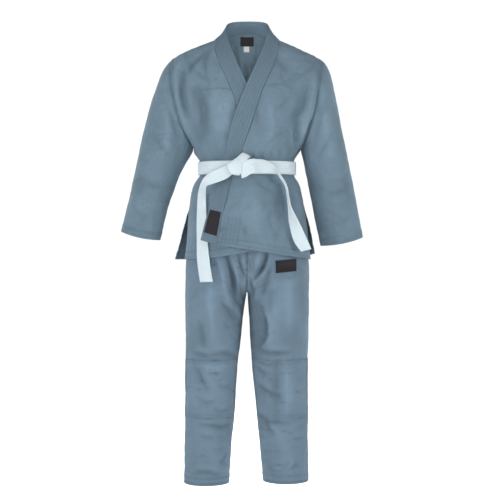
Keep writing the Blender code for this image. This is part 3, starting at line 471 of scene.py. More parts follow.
def ripple(points, seed, wave, high):
    # A gentle unevenness: a few crossing waves in fixed random directions.
    rng = np.random.default_rng(seed)
    total = np.zeros(len(points))
    for _ in range(6):
        direction = rng.normal(size=3)
        direction *= 2 * math.pi / (wave * rng.uniform(0.7, 1.5) * np.linalg.norm(direction))
        total += np.sin(points.dot(direction) + rng.uniform(0, 6.28))
    return total * high / 2.5


def makeObject(name, points, faces, material, fold=None, rows=None):
    # fold is painted shade in hollows and a painted highlight on ridges. rows is (along, across) for
    # stitched bands.
    mesh = bpy.data.meshes.new(name)
    mesh.from_pydata((points * mm).tolist(), [], faces)
    mesh.shade_smooth()
    if fold is not None:
        mesh.attributes.new("fold", "FLOAT", "POINT").data.foreach_set("value", fold)
    if rows is not None:
        corner = np.empty(len(mesh.loops), int)
        mesh.loops.foreach_get("vertex_index", corner)
        mesh.uv_layers.new(name="bandRows").data.foreach_set("uv", rows[corner].ravel())
    mesh.materials.append(material)
    thing = bpy.data.objects.new(name, mesh)
    bpy.context.scene.collection.objects.link(thing)
    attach(thing, "root")
    return thing


def clothWall(name, skin, thick, material):
    # Closes a skin into a wall of cloth with a rounded folded edge.
    points, faces, normals = skin["points"], skin["faces"].tolist(), skin["normals"]
    n = len(points)
    outward = {}
    rim = []
    for loop in rimLoops(skin["faces"]):
        for a, b in zip(loop, loop[1:] + loop[:1]):
            rim.append((a, b))
            away = np.cross(points[b] - points[a], normals[a])
            away /= max(np.linalg.norm(away), 1e-9)
            for v in (a, b):
                outward[v] = outward.get(v, 0) + away
    middles = {v: 2 * n + k for k, v in enumerate(outward)}
    extra = [points[v] - normals[v] * thick / 2 + away * thick * 0.1
             / max(np.linalg.norm(away), 1e-9) for v, away in outward.items()]
    allFaces = faces + [[c + n, b + n, a + n] for a, b, c in faces]
    for a, b in rim:
        allFaces.append([b, a, middles[a], middles[b]])
        allFaces.append([middles[b], middles[a], a + n, b + n])
    allPoints = np.concatenate((points, points - normals * thick,
                                np.array(extra).reshape(-1, 3)))
    picks = np.concatenate((np.arange(n), np.arange(n), np.array(list(outward), int)))
    rows = skin["rows"][picks] if "rows" in skin else None
    return makeObject(name, allPoints, allFaces, material, skin["fold"][picks], rows)


# Sewing: each stitch is a short thread that sinks into the cloth at both ends

# The groove's darkness is painted shade along each row of stitches.
thread = {"pitch": 4.0, "long": 0.8, "wide": 0.6, "high": 0.6, "sunk": 0.25,
          "grooveWide": 2.2, "grooveDeep": 0.35, "grooveShade": 0.85, "grooveStep": 1.5}


def evenSteps(line, pitch):
    line = np.array(line, float)
    far = np.linalg.norm(np.diff(line, axis=0), axis=1)
    at = np.concatenate(([0.0], np.cumsum(far)))
    count = max(int(round(at[-1] / pitch)), 1)
    where = np.linspace(0, at[-1], count + 1)
    return np.stack([np.interp(where, at, line[:, k]) for k in range(3)], axis=1)


def skinTree(skin):
    # Finds places on a skin. It is made once, and again after the skin has moved.
    if "tree" not in skin:
        skin["tree"] = BVHTree.FromPolygons(skin["points"].tolist(), skin["faces"].tolist())
    return skin["tree"]


def raiseSkin(skin, height):
    # Moves each point of a skin along its normal.
    skin["points"] = skin["points"] + skin["normals"] * height[:, None]
    skin["normals"] = pointNormals(skin["points"], skin["faces"])
    skin.pop("tree", None)


def sew(bag, skin, line, pitch=thread["pitch"]):
    # One row of stitches along a line, laid on the skin.
    steps = evenSteps(line, pitch)
    tree = skinTree(skin)
    for a, b in zip(steps, steps[1:]):
        middle = (a + b) / 2
        half = (b - a) * thread["long"] / 2
        ends = []
        for p in (middle - half, middle + half):
            spot, normal, _, _ = tree.find_nearest(Vector(p))
            ends.append(np.array(spot) - np.array(normal) * thread["sunk"])
        spot, normal, _, _ = tree.find_nearest(Vector(middle))
        normal = np.array(normal)
        side = np.cross(ends[1] - ends[0], normal)
        side *= thread["wide"] / max(np.linalg.norm(side), 1e-9)
        top = np.array(spot) + normal * thread["high"] / 2
        first = 6 * len(bag["points"])
        bag["points"].append(np.array([ends[0], ends[1], top + side, top + normal * thread["high"] / 2,
                                       top - side, top - normal * thread["high"]]))
        for k in range(4):
            p, q = first + 2 + k, first + 2 + (k + 1) % 4
            bag["faces"].append([first, q, p])
            bag["faces"].append([first + 1, p, q])


def newBag():
    return {"points": [], "faces": []}


def closeBag(name, bag, material):
    return makeObject(name, np.concatenate(bag["points"]), bag["faces"], material)


def edgeNear(skin, place):
    # The open edge whose middle is nearest to a place.
    return min(skin["edges"],
               key=lambda edge: np.linalg.norm(skin["points"][edge].mean(0) - np.array(place)))


def insetLine(skin, edge, far):
    # A line on the skin, a set distance in from one of its edges.
    line = skin["points"][edge]
    along = np.gradient(line, axis=0)
    inward = np.cross(skin["normals"][edge], along)
    inward /= np.maximum(np.linalg.norm(inward, axis=1, keepdims=True), 1e-9)
    return line + inward * far


def frontLine(skin, line, steps=8):
    # A line given by x and z as seen from the front, thrown onto the skin.
    out = []
    for x, z in smoothLine(line, steps):
        spot, _, _, _ = skinTree(skin).ray_cast(Vector((x, -600, z)), Vector((0, 1, 0)))
        if spot is not None:
            out.append(np.array(spot))
    return out


def wavyLine(start, end, high, wave):
    # A straight run from start to end that weaves to both sides.
    start, end = np.array(start, float), np.array(end, float)
    count = max(int(np.linalg.norm(end - start) / wave * 4), 4)
    side = np.array([-(end - start)[1], (end - start)[0]]) / np.linalg.norm(end - start)
    return [tuple(start + (end - start) * k / count + side * high * math.sin(k * math.pi / 2))
            for k in range(count + 1)]


# Shader groups that several finishes share

# Sizes of the cloth's blotches, fibres and wrinkles, in millimetres
grain = {"cloudWide": 120.0, "cloudSmall": 26.0, "fibreWide": 3.4, "fibreSmall": 1.1,
         "crumpleWide": 60.0, "crumpleSmall": 14.0}
# Shares of a row's spacing or of a stitch's pitch
rowStitch = {"channelSharp": 3.2, "dashHalf": 0.36, "lineHalf": 0.09, "threadHigh": 0.6}

def startGroup(name, inputs, outputs):
    tree = bpy.data.node_groups.new(name, "ShaderNodeTree")
    for label, value in inputs:
        kind = "NodeSocketColor" if isinstance(value, tuple) else "NodeSocketFloat"
        tree.interface.new_socket(label, in_out="INPUT", socket_type=kind).default_value = value
    for label in outputs:
        kind = "NodeSocketColor" if label == "Colour" else "NodeSocketFloat"
        tree.interface.new_socket(label, in_out="OUTPUT", socket_type=kind)
    return tree, tree.nodes.new("NodeGroupInput").outputs, tree.nodes.new("NodeGroupOutput").inputs


def calc(tree, operation, *values):
    node = tree.nodes.new("ShaderNodeMath")
    node.operation = operation
    for socket, value in zip(node.inputs, values):
        if isinstance(value, (int, float)):
            socket.default_value = value
        else:
            tree.links.new(value, socket)
    return node.outputs[0]


def noise(tree, place, size, detail=2.0):
    # Size is that of its blotches, in millimetres.
    node = tree.nodes.new("ShaderNodeTexNoise")
    tree.links.new(place, node.inputs["Vector"])
    node.inputs["Scale"].default_value = 1000.0 / size
    node.inputs["Detail"].default_value = detail
    return node.outputs[0]


def buildThreadWeave():
    # Threads over and under each other: pearl grains, or the slanting lines of twill.
    tree, given, out = startGroup("threadWeave", [("Pitch", 2.4), ("Twill", 0.0)], ["Height"])
    place = tree.nodes.new("ShaderNodeTexCoord")
    spot = tree.nodes.new("ShaderNodeSeparateXYZ")
    facing = tree.nodes.new("ShaderNodeSeparateXYZ")
    tree.links.new(place.outputs["Object"], spot.inputs[0])
    tree.links.new(place.outputs["Normal"], facing.inputs[0])
    x, y, z = (calc(tree, "DIVIDE", calc(tree, "MULTIPLY", s, 1000.0), given["Pitch"])
               for s in spot.outputs)
    nx, ny, nz = (calc(tree, "ABSOLUTE", s) for s in facing.outputs)
    lying = calc(tree, "GREATER_THAN", nz, 0.75)
    sideways = calc(tree, "MULTIPLY", calc(tree, "GREATER_THAN", nx, ny),
                    calc(tree, "SUBTRACT", 1.0, lying))
    u = calc(tree, "MULTIPLY_ADD", calc(tree, "SUBTRACT", y, x), sideways, x)
    v = calc(tree, "MULTIPLY_ADD", calc(tree, "SUBTRACT", y, z), lying, z)
    shift = calc(tree, "MULTIPLY", calc(tree, "MODULO", calc(tree, "FLOOR", v), 2.0), 0.5)
    across = calc(tree, "SINE", calc(tree, "MULTIPLY", calc(tree, "ADD", u, shift), math.pi))
    down = calc(tree, "SINE", calc(tree, "MULTIPLY", v, math.pi))
    pearl = calc(tree, "ABSOLUTE", calc(tree, "MULTIPLY", across, down))
    slant = calc(tree, "SINE", calc(tree, "MULTIPLY", calc(tree, "ADD", u, v), 2 * math.pi))
    twill = calc(tree, "MULTIPLY_ADD", slant, 0.5, 0.5)
    height = calc(tree, "MULTIPLY_ADD", calc(tree, "SUBTRACT", twill, pearl), given["Twill"], pearl)
    tree.links.new(height, out["Height"])
    return tree


def buildClothTone():
    # Dyed cotton: cloudy patches and single lighter fibres, with painted shade in hollows and a painted
    # highlight on ridges.
    tree, given, out = startGroup(
        "clothToneAndFoldShade", [("Colour", (0.5, 0.5, 0.5, 1.0)), ("Cloud", 0.12), ("Fibre", 0.1),
                      ("Fold", 0.0), ("FoldDark", 0.12)], ["Colour"])
    place = tree.nodes.new("ShaderNodeTexCoord").outputs["Object"]
    cloud = calc(tree, "ADD", noise(tree, place, grain["cloudWide"]),
                 noise(tree, place, grain["cloudSmall"]))
    cloud = calc(tree, "MULTIPLY", calc(tree, "SUBTRACT", cloud, 1.0), given["Cloud"])
    fibre = calc(tree, "ADD", noise(tree, place, grain["fibreWide"], 3.0),
                 noise(tree, place, grain["fibreSmall"], 1.0))
    fibre = calc(tree, "MULTIPLY", calc(tree, "SUBTRACT", fibre, 1.0), given["Fibre"])
    # Painted shade in hollows and a painted highlight on ridges, from the fold attribute.
    fold = calc(tree, "MULTIPLY", given["Fold"], given["FoldDark"])
    value = calc(tree, "ADD", calc(tree, "ADD", cloud, fibre), calc(tree, "ADD", fold, 1.0))
    tint = tree.nodes.new("ShaderNodeHueSaturation")
    tree.links.new(value, tint.inputs["Value"])
    tree.links.new(given["Colour"], tint.inputs["Color"])
    tree.links.new(tint.outputs[0], out["Colour"])
    return tree


def buildCrumple():
    # Soft wrinkles too small for the crease tables.
    tree, given, out = startGroup("softCrumple", [("Fine", 0.35)], ["Height"])
    place = tree.nodes.new("ShaderNodeTexCoord").outputs["Object"]
    wide = noise(tree, place, grain["crumpleWide"], 1.0)
    small = calc(tree, "MULTIPLY", noise(tree, place, grain["crumpleSmall"]), given["Fine"])
    tree.links.new(calc(tree, "ADD", wide, small), out["Height"])
    return tree


def buildStitchedRows():
    # Lengthwise rows of stitches on a band, from its place along and across.
    tree, given, out = startGroup(
        "stitchedRows", [("Along", 0.0), ("Across", 0.0), ("Rows", 7.0), ("Pitch", 4.0)],
        ["Height", "Thread"])
    spot = calc(tree, "MULTIPLY", given["Across"], given["Rows"])
    away = calc(tree, "ABSOLUTE", calc(tree, "SUBTRACT", spot, calc(tree, "ROUND", spot)))
    slope = calc(tree, "MULTIPLY", away, rowStitch["channelSharp"])
    channel = calc(tree, "MAXIMUM", calc(tree, "SUBTRACT", 1.0, slope), 0.0)
    dash = calc(tree, "FRACT", calc(tree, "DIVIDE", given["Along"], given["Pitch"]))
    dash = calc(tree, "ABSOLUTE", calc(tree, "SUBTRACT", dash, 0.5))
    dash = calc(tree, "LESS_THAN", dash, rowStitch["dashHalf"])
    line = calc(tree, "LESS_THAN", away, rowStitch["lineHalf"])
    sewn = calc(tree, "MULTIPLY", dash, line)
    tree.links.new(sewn, out["Thread"])
    raised = calc(tree, "MULTIPLY", sewn, rowStitch["threadHigh"])
    tree.links.new(calc(tree, "SUBTRACT", raised, channel), out["Height"])
    return tree


say("shader groups")
groups = {"weave": buildThreadWeave(), "tone": buildClothTone(), "crumple": buildCrumple(),
          "rows": buildStitchedRows()}

# Colour; cloud and fibre are unevenness of tone; the fold strength is painted shade in hollows and a
# painted highlight on ridges; pitch, weave and crumple are in millimetres
spunThread = {"cloud": 0.1, "fibre": 0.2, "foldShadeStrength": 0.0, "pitch": 0.5, "twill": 1.0,
              "weaveDeep": 0.06, "crumpleDeep": 0.0, "fine": 0.0, "roughness": 0.6, "sheen": 0.03}
finishes = {
    "jacketCloth": {"colour": (0.128, 0.190, 0.241), "cloud": 0.13, "fibre": 0.2, "foldShadeStrength": 0.2,
                    "pitch": 2.6, "twill": 0.0, "weaveDeep": 0.5, "crumpleDeep": 9.0, "fine": 0.4,
                    "roughness": 0.92, "sheen": 0.06},
    "collarCloth": {"colour": (0.121, 0.180, 0.229), "cloud": 0.12, "fibre": 0.14, "foldShadeStrength": 0.14,
                    "pitch": 1.5, "twill": 1.0, "weaveDeep": 0.15, "crumpleDeep": 1.2, "fine": 0.5,
                    "roughness": 0.9, "sheen": 0.05, "rows": 7.0, "rowDeep": 0.8, "rowShadeAndThreadDark": 0.8},
    "trouserCloth": {"colour": (0.127, 0.188, 0.244), "cloud": 0.16, "fibre": 0.14, "foldShadeStrength": 0.24,
                     "pitch": 1.4, "twill": 1.0, "weaveDeep": 0.25, "crumpleDeep": 8.0, "fine": 0.4,
                     "roughness": 0.9, "sheen": 0.06},
    "beltCloth": {"colour": (0.64, 0.735, 0.78), "cloud": 0.04, "fibre": 0.05, "foldShadeStrength": 0.1,
                  "pitch": 1.2, "twill": 1.0, "weaveDeep": 0.12, "crumpleDeep": 0.7, "fine": 0.5,
                  "roughness": 0.88, "sheen": 0.05, "rows": 9.0, "rowDeep": 1.0, "rowShadeAndThreadDark": 0.8},
    "labelCloth": {"colour": (0.013, 0.011, 0.014), "cloud": 0.1, "fibre": 0.3, "foldShadeStrength": 0.1,
                   "pitch": 0.9, "twill": 1.0, "weaveDeep": 0.1, "crumpleDeep": 0.3, "fine": 0.5,
                   "roughness": 0.55, "sheen": 0.04},
    "tagCloth": {"colour": (0.62, 0.62, 0.62), "cloud": 0.06, "fibre": 0.1, "foldShadeStrength": 0.1,
                 "pitch": 0.8, "twill": 0.0, "weaveDeep": 0.06, "crumpleDeep": 0.3, "fine": 0.5,
                 "roughness": 0.5, "sheen": 0.03},
    "sewingThread": spunThread | {"colour": (0.085, 0.130, 0.168)},
    "whiteThread": spunThread | {"colour": (0.56, 0.59, 0.60), "cloud": 0.05, "fibre": 0.1},
    "blackThread": spunThread | {"colour": (0.035, 0.033, 0.038), "roughness": 0.5},
}


def addGroup(tree, group, **values):
    node = tree.nodes.new("ShaderNodeGroup")
    node.node_tree = groups[group]
    for label, value in values.items():
        node.inputs[label].default_value = value
    return node


def addBump(tree, height, deep, under=None):
    # deep is in millimetres; under is the normal that it is laid on.
    node = tree.nodes.new("ShaderNodeBump")
    node.inputs["Distance"].default_value = deep * mm
    tree.links.new(height, node.inputs["Height"])
    if under is not None:
        tree.links.new(under, node.inputs["Normal"])
    return node.outputs[0]


def addStitchedRows(tree, look, colour, normal):
    # Quilted rows over a band's cloth, their threads a little darker.
    uv = tree.nodes.new("ShaderNodeUVMap")
    uv.uv_map = "bandRows"
    split = tree.nodes.new("ShaderNodeSeparateXYZ")
    tree.links.new(uv.outputs[0], split.inputs[0])
    rows = addGroup(tree, "rows", Rows=look["rows"])
    tree.links.new(split.outputs[0], rows.inputs["Along"])
    tree.links.new(split.outputs[1], rows.inputs["Across"])
    dark = tree.nodes.new("ShaderNodeMix")
    dark.data_type = "RGBA"
    dark.blend_type = "MULTIPLY"
    dark.inputs[7].default_value = (look["rowShadeAndThreadDark"],) * 3 + (1,)
    tree.links.new(rows.outputs["Thread"], dark.inputs[0])
    tree.links.new(colour, dark.inputs[6])
    return dark.outputs[2], addBump(tree, rows.outputs["Height"], look["rowDeep"], normal)


def clothFinish(name):
    look = finishes[name]
    material = bpy.data.materials.new(name)
    material.use_nodes = True
    tree = material.node_tree
    shader = tree.nodes["Principled BSDF"]
    shader.inputs["Roughness"].default_value = look["roughness"]
    shader.inputs["Sheen Weight"].default_value = look["sheen"]
    shader.inputs["Sheen Roughness"].default_value = 0.5
    shader.inputs["Specular IOR Level"].default_value = 0.2

    tone = addGroup(tree, "tone", Colour=(*look["colour"], 1), Cloud=look["cloud"],
                    Fibre=look["fibre"], FoldDark=look["foldShadeStrength"])
    # The fold attribute carries the painted shade and highlight into the cloth's colour.
    foldShadeAttribute = tree.nodes.new("ShaderNodeAttribute")
    foldShadeAttribute.attribute_name = "fold"
    tree.links.new(foldShadeAttribute.outputs["Fac"], tone.inputs["Fold"])
    colour = tone.outputs["Colour"]
    weave = addGroup(tree, "weave", Pitch=look["pitch"], Twill=look["twill"])
    normal = addBump(tree, weave.outputs["Height"], look["weaveDeep"])
    if look["crumpleDeep"] > 0:
        crumple = addGroup(tree, "crumple", Fine=look["fine"])
        normal = addBump(tree, crumple.outputs["Height"], look["crumpleDeep"], normal)
    if "rows" in look:
        colour, normal = addStitchedRows(tree, look, colour, normal)
    tree.links.new(colour, shader.inputs["Base Color"])
    tree.links.new(normal, shader.inputs["Normal"])
    return material


say("finishes")
cloths = {name: clothFinish(name) for name in finishes}


# Small wrinkles, strewn where each part moves

def mirroredBox(side, x0, x1, z0, z1):
    # The corners of a box in the front view, on the wearer's left (1) or right (-1).
    return (min(side * x0, side * x1), z0), (max(side * x0, side * x1), z1)


def legWrinkles(seed, side):
    # Round the knee, inside the thigh and over the shin of one leg.
    knee, thigh, shin = (mirroredBox(side, *box) for box in (
        (36, 168, -1240, -960), (8, 70, -960, -690), (56, 170, -1366, -1250)))
    return (smallCreases(seed + 20, 20, *knee, side * 8, 26, (22, 64), (2.8, 5), (0.9, 2.0))
            + smallCreases(seed + 30, 14, *thigh, side * 50, 30, (24, 60), (3, 5.5), (0.8, 1.9))
            + smallCreases(seed + 40, 10, *shin, side * 10, 24, (24, 56), (3, 5.5), (0.6, 1.6)))


jacketFrontCreases += smallCreases(
    41, 26, (-150, -360), (160, -60), 70, 60, (30, 80), (6, 12), (0.6, 1.6))
jacketFrontCreases += smallCreases(
    42, 18, (-120, -640), (150, -440), 80, 50, (30, 70), (6, 12), (0.6, 1.5))
jacketBackCreases += smallCreases(
    43, 40, (-160, -640), (160, -80), 80, 60, (30, 90), (6, 13), (0.7, 1.9))
for seed, side in ((44, -1), (45, 1)):
    elbow = mirroredBox(side, 230, 330, -600, -300)
    sleeve = (*elbow, -side * 25, 34, (30, 80), (3.5, 7), (0.6, 1.7))
    sleeveFrontCreases += smallCreases(seed, 22, *sleeve)
    sleeveBackCreases += smallCreases(seed + 9, 22, *sleeve)
    trouserFrontCreases += legWrinkles(seed, side)
    trouserBackCreases += legWrinkles(seed + 1, side)


# How a cloth piece is worked up from its solid's outer skin

def nearBelt(points):
    # 1 where the belt ties the jacket in, 0 away from it.
    return np.exp(-((points[:, 2] - gi["beltZ"]) / gi["beltWide"]) ** 4)


def relaxRows(points, faces, first, second):
    # Place along a band and across it, 0 at its first long edge and 1 at its second.
    corners = rimCorners(points, faces)
    coarse = {"points": points, "edges": rimEdges(faces, corners)}
    one, two = edgeNear(coarse, first), edgeNear(coarse, second)
    if np.linalg.norm(points[one[0]] - points[two[0]]) > np.linalg.norm(points[one[0]] - points[two[-1]]):
        two = two[::-1]
    rows = np.full((len(points), 2), 0.5)
    fixed = np.concatenate((one, two))
    far = np.linalg.norm(np.diff(points[one], axis=0), axis=1)
    far = np.concatenate(([0], np.cumsum(far)))
    share = np.linspace(0, 1, len(one))
    rows[one] = np.stack((far, np.zeros(len(one))), axis=1)
    rows[two] = np.stack((np.interp(np.linspace(0, 1, len(two)), share, far),
                          np.ones(len(two))), axis=1)
    start = rows[fixed].copy()
    sides = sheetEdges(faces)[0]
    count = np.bincount(sides.ravel(), minlength=len(points))[:, None]
    for _ in range(600):
        around = np.zeros_like(rows)
        np.add.at(around, sides[:, 0], rows[sides[:, 1]])
        np.add.at(around, sides[:, 1], rows[sides[:, 0]])
        rows = around / count
        rows[fixed] = start
    return rows


def stitchLines(skin, piece):
    # Every row of stitches on a piece, with its pitch.
    sewn = [(edgeNear(skin, place), far) for place, insets in piece.get("hems", ()) + piece.get("seams", ())
            for far in insets]
    sewn += [(edge, far) for edge in skin["edges"] for far in piece.get("border", ())]
    lines = [(insetLine(skin, edge, far), thread["pitch"]) for edge, far in sewn]
    return lines + [(frontLine(skin, row, steps), pitch) for row, steps, pitch in piece.get("rows", ())]


def foldHeight(points, normals, piece):
    # Creases and unevenness, smooth under the belt and under the labels.
    if "creases" not in piece:
        return np.zeros(len(points))
    fold = creaseHeight(points, normals, *piece["creases"]) * gi["creaseDeep"]
    fold *= piece.get("creaseShare", 1.0)
    fold += sum(ripple(points, *wave) for wave in gi["waves"])
    if piece["slot"] == "gi_cotton":
        fold *= 1 - nearBelt(points)
    edge = gi["calmEdge"]
    for x0, x1, z0, z1, side in piece.get("calm", ()):
        flat = smoothStep(points[:, 0], x0 - edge, x0) * (1 - smoothStep(points[:, 0], x1, x1 + edge))
        flat *= smoothStep(points[:, 2], z0 - edge, z0) * (1 - smoothStep(points[:, 2], z1, z1 + edge))
        fold *= 1 - flat * (points[:, 1] * side > 0)
    return fold


def gathers(points, far, seed):
    # Small gathers that the stitches draw up, close to their line.
    gather = ripple(points, seed, gi["puckerWave"], gi["puckerHigh"])
    return gather * np.exp(-(far / gi["puckerWide"]) ** 2)


def inseamShade(points, near):
    # The inner side of a leg is darker, from the crotch down to where the legs part.
    low = 1 - smoothStep(points[:, 2], *trouserShade["legFrom"])
    inner = 1 - smoothStep(np.abs(points[:, 0]), *near)
    leg = low * inner * smoothStep(points[:, 2], *trouserShade["legTo"])
    middle = 1 - smoothStep(np.abs(points[:, 0]), 0, trouserShade["crotchWide"])
    return trouserShade["legDark"] * leg, trouserShade["crotchDark"] * (1 - low) * middle


def clothSkin(piece):
    # The fine outer skin of one cloth piece, with its creases, hems and seams worked in.
    points, faces = nodeSheet(piece["node"], piece.get("sharp", 40))
    corners = rimCorners(points, faces)
    if "seam" in piece:
        points = np.hstack((points, relaxRows(points, faces, piece["seam"], piece["free"])))
    points, faces = subdivide(points, faces, piece.get("levels", 3))
    points, rows = points[:, :3], points[:, 3:]
    skin = {"points": points, "faces": faces, "normals": pointNormals(points, faces),
            "edges": rimEdges(faces, corners)}
    if "seam" in piece:
        skin["rows"] = rows
    skin["lines"] = stitchLines(skin, piece)
    fold = foldHeight(points, skin["normals"], piece)
    height = fold.copy()
    for place, _ in piece.get("hems", ()):
        wide = piece.get("hemWide", gi["hemWide"])
        far = distanceTo(points, points[edgeNear(skin, place)])
        before, after = gi["hemEdge"]
        height += gi["hemHigh"] * (1 - smoothStep(far, wide - before, wide + after))
        height += gathers(points, far - wide, 3)
    for place, _ in piece.get("seams", ()):
        far = distanceTo(points, points[edgeNear(skin, place)])
        valley = np.exp(-(far / gi["seamWide"]) ** 2)
        height += gathers(points, far, 7) - gi["seamDeep"] * valley
        # Painted shade along the seam's valley.
        fold -= gi["seamShade"] * valley
    if "ridge" in piece:
        rim = np.concatenate([evenSteps(points[edge], 0.5) for edge in skin["edges"]])
        far = distanceTo(points, rim)
        height += piece["ridge"] * np.exp(-((far - piece["ridgeAt"]) / piece["ridgeWide"]) ** 2)
    if "inseam" in piece:
        for shade in inseamShade(points, piece["inseam"]):
            fold -= shade
    fold = np.clip(fold / gi["foldFull"], -1, 1)
    if skin["lines"]:
        sewn = np.concatenate([evenSteps(line, thread["grooveStep"])
                               for line, _ in skin["lines"] if len(line) > 1])
        groove = np.exp(-(distanceTo(points, sewn) / thread["grooveWide"]) ** 2)
        height -= thread["grooveDeep"] * groove
        # Painted shade in the groove along the stitches.
        fold -= thread["grooveShade"] * groove
    # The fold values are painted shade in hollows, seam valleys, stitch grooves and the inner legs, and a
    # painted highlight on ridges.
    skin["fold"] = fold
    raiseSkin(skin, height)
    return skin


allowance = {"half": 9, "sunk": 2.4, "thick": 1.2}


def seamAllowance(name, skin, place, material):
    # The cloth turned in under a seam, as a strip along both sides of it.
    edge = edgeNear(skin, place)
    half, normals = allowance["half"], skin["normals"][edge]
    rows = [insetLine(skin, edge, far) - normals * allowance["sunk"] for far in (-half, 0, half)]
    under = [row - normals * allowance["thick"] for row in rows[::-1]]
    ring = np.stack(rows + under, axis=1)
    n, m = ring.shape[:2]
    faces = [[i * m + j, i * m + (j + 1) % m, (i + 1) * m + (j + 1) % m, (i + 1) * m + j]
             for i in range(n - 1) for j in range(m)]
    return makeObject(name, ring.reshape(-1, 3), faces, material)


def sewLines(bag, skin):
    # All the rows of stitches that a skin holds.
    for line, pitch in skin["lines"]:
        if len(line) > 1:
            sew(bag, skin, line, pitch)


# Jacket. Hems and seams are edges of a piece, each given by a place near its middle, with the
# distances at which stitches run along it. calm is a box that lies smooth, in front or behind.

leftArmhole, rightArmhole = (204, 0, -209), (-213, 0, -198)
jacket = {
    "backPanel": {
        "node": "jacket_back", "creases": (jacketFrontCreases, jacketBackCreases),
        "calm": ((-24, 24, -24, 40, 1),),
        "hems": (((-2, 92, -684), (8, 22)),),
        "seams": (((-169, 0, -28), (4, 10)), ((167, 0, -30), (4, 10)), ((211, 47, -203), (4, 10)),
                  ((-205, 47, -203), (4, 10)), ((174, 5, -482), (4,)), ((-177, 5, -486), (4,)))},
    "overFront": {
        "node": "jacket_front_over", "creases": (jacketFrontCreases, ()),
        "hems": (((91, -98, -667), (8, 22)),),
        "seams": (((170, 0, -486), (4,)), ((205, -48, -203), (4, 10)), ((184, 0, -38), (4,)))},
    "underFront": {
        "node": "jacket_front_under", "creases": (jacketFrontCreases, ()),
        "hems": (((-89, -93, -672), (8, 22)),),
        "seams": (((-171, 0, -486), (4,)), ((-211, -45, -203), (4, 10)), ((-186, 0, -36), (4,)))},
    "leftSleeve": {
        "node": "sleeve_left", "creases": (sleeveFrontCreases, sleeveBackCreases),
        "creaseShare": 0.66, "hemWide": 26,
        "hems": (((291, -15, -632), (7, 15, 23)),), "seams": ((leftArmhole, (5,)),)},
    "rightSleeve": {
        "node": "sleeve_right", "creases": (sleeveFrontCreases, sleeveBackCreases),
        "creaseShare": 0.66, "hemWide": 26,
        "hems": (((-333, -15, -613), (7, 15, 23)),), "seams": ((rightArmhole, (5,)),)},
}
jacketThick = 2.0

# The shoulder yoke's double rows and the single row under them, and patches at the corners
yokeRows = {
    "underFront": (((-194, -48), (-188, -72), (-172, -100), (-152, -122), (-122, -142), (-112, -148)),
                   ((-188, -44), (-182, -66), (-168, -92), (-149, -115), (-120, -135), (-110, -142)),
                   ((-142, -170), (-112, -168), (-76, -168), (-46, -174), (-32, -192))),
    "overFront": (((222, -72), (204, -98), (176, -122), (149, -138), (124, -150)),
                  ((216, -68), (198, -92), (172, -115), (146, -131), (122, -143)),
                  ((55, -160), (108, -154), (136, -166))),
}
for name, rows in yokeRows.items():
    jacket[name]["rows"] = [(row, 8, thread["pitch"]) for row in rows]
jacket["overFront"]["rows"] += [
    (wavyLine((-66 + 12 * k, -556), (-78 + 12 * k, -640), 2.2, 16), 3, 3.2) for k in range(5)]
jacket["underFront"]["rows"] += [
    (wavyLine((-174 + 10 * k, -620), (-180 + 10 * k, -668), 1.8, 14), 3, 3.2) for k in range(3)]

say("jacket")
skins = {}
jacketSewing = newBag()
for name, piece in jacket.items():
    piece["slot"] = "gi_cotton"
    skins[name] = clothSkin(piece)
    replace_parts(clothWall(name, skins[name], jacketThick, cloths["jacketCloth"]),
                piece["node"])
    sewLines(jacketSewing, skins[name])
closeBag("jacketStitches", jacketSewing, cloths["sewingThread"])
seamAllowance("leftArmholeSeam", skins["leftSleeve"], leftArmhole,
              cloths["jacketCloth"])
seamAllowance("rightArmholeSeam", skins["rightSleeve"], rightArmhole,
              cloths["jacketCloth"])


# Collar band: thick, quilted by rows of stitches along its whole length

collar = {"node": "collar_band", "thick": 5.0, "rowCount": 7, "rowDeep": 0.5, "rowShadeAndThreadDark": 0.4,
          "waves": ((21, 60, 0.35), (22, 12, 0.22)), "sewnStep": 6.0,
          "seam": (0, -76, -239), "free": (0, -70, -215)}


def rowValley(across, count, wide=0.2):
    # 1 along each of the evenly spaced rows across a band, 0 between them.
    spot = across * count
    return np.exp(-((spot - np.round(spot)) / wide) ** 2)


say("collar band")
skin = clothSkin(collar)
seamLine = skin["points"][edgeNear(skin, collar["seam"])]
freeLine = skin["points"][edgeNear(skin, collar["free"])]
valley = rowValley(skin["rows"][:, 1], collar["rowCount"])
row = np.round(skin["rows"][:, 1] * collar["rowCount"])
valley[(row < 1) | (row > collar["rowCount"] - 1)] = 0
height = -collar["rowDeep"] * valley
for wave in collar["waves"]:
    height += ripple(skin["points"], *wave)
raiseSkin(skin, height)
# Painted shade in the valleys along the quilted rows.
skin["fold"] = -collar["rowShadeAndThreadDark"] * valley
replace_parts(clothWall("collar", skin, collar["thick"], cloths["collarCloth"]),
            collar["node"])
collarSewing = newBag()
if freeLine[0, 0] * seamLine[0, 0] < 0:
    freeLine = freeLine[::-1]
seamSteps, freeSteps = (evenSteps(line, collar["sewnStep"]) for line in (seamLine, freeLine))
share = np.linspace(0, 1, len(seamSteps))
freeSteps = np.stack([np.interp(share, np.linspace(0, 1, len(freeSteps)), freeSteps[:, k])
                      for k in range(3)], axis=1)
for row in range(1, collar["rowCount"]):
    sew(collarSewing, skin, seamSteps + (freeSteps - seamSteps) * row / collar["rowCount"])
closeBag("collarStitches", collarSewing, cloths["sewingThread"])


# Trousers

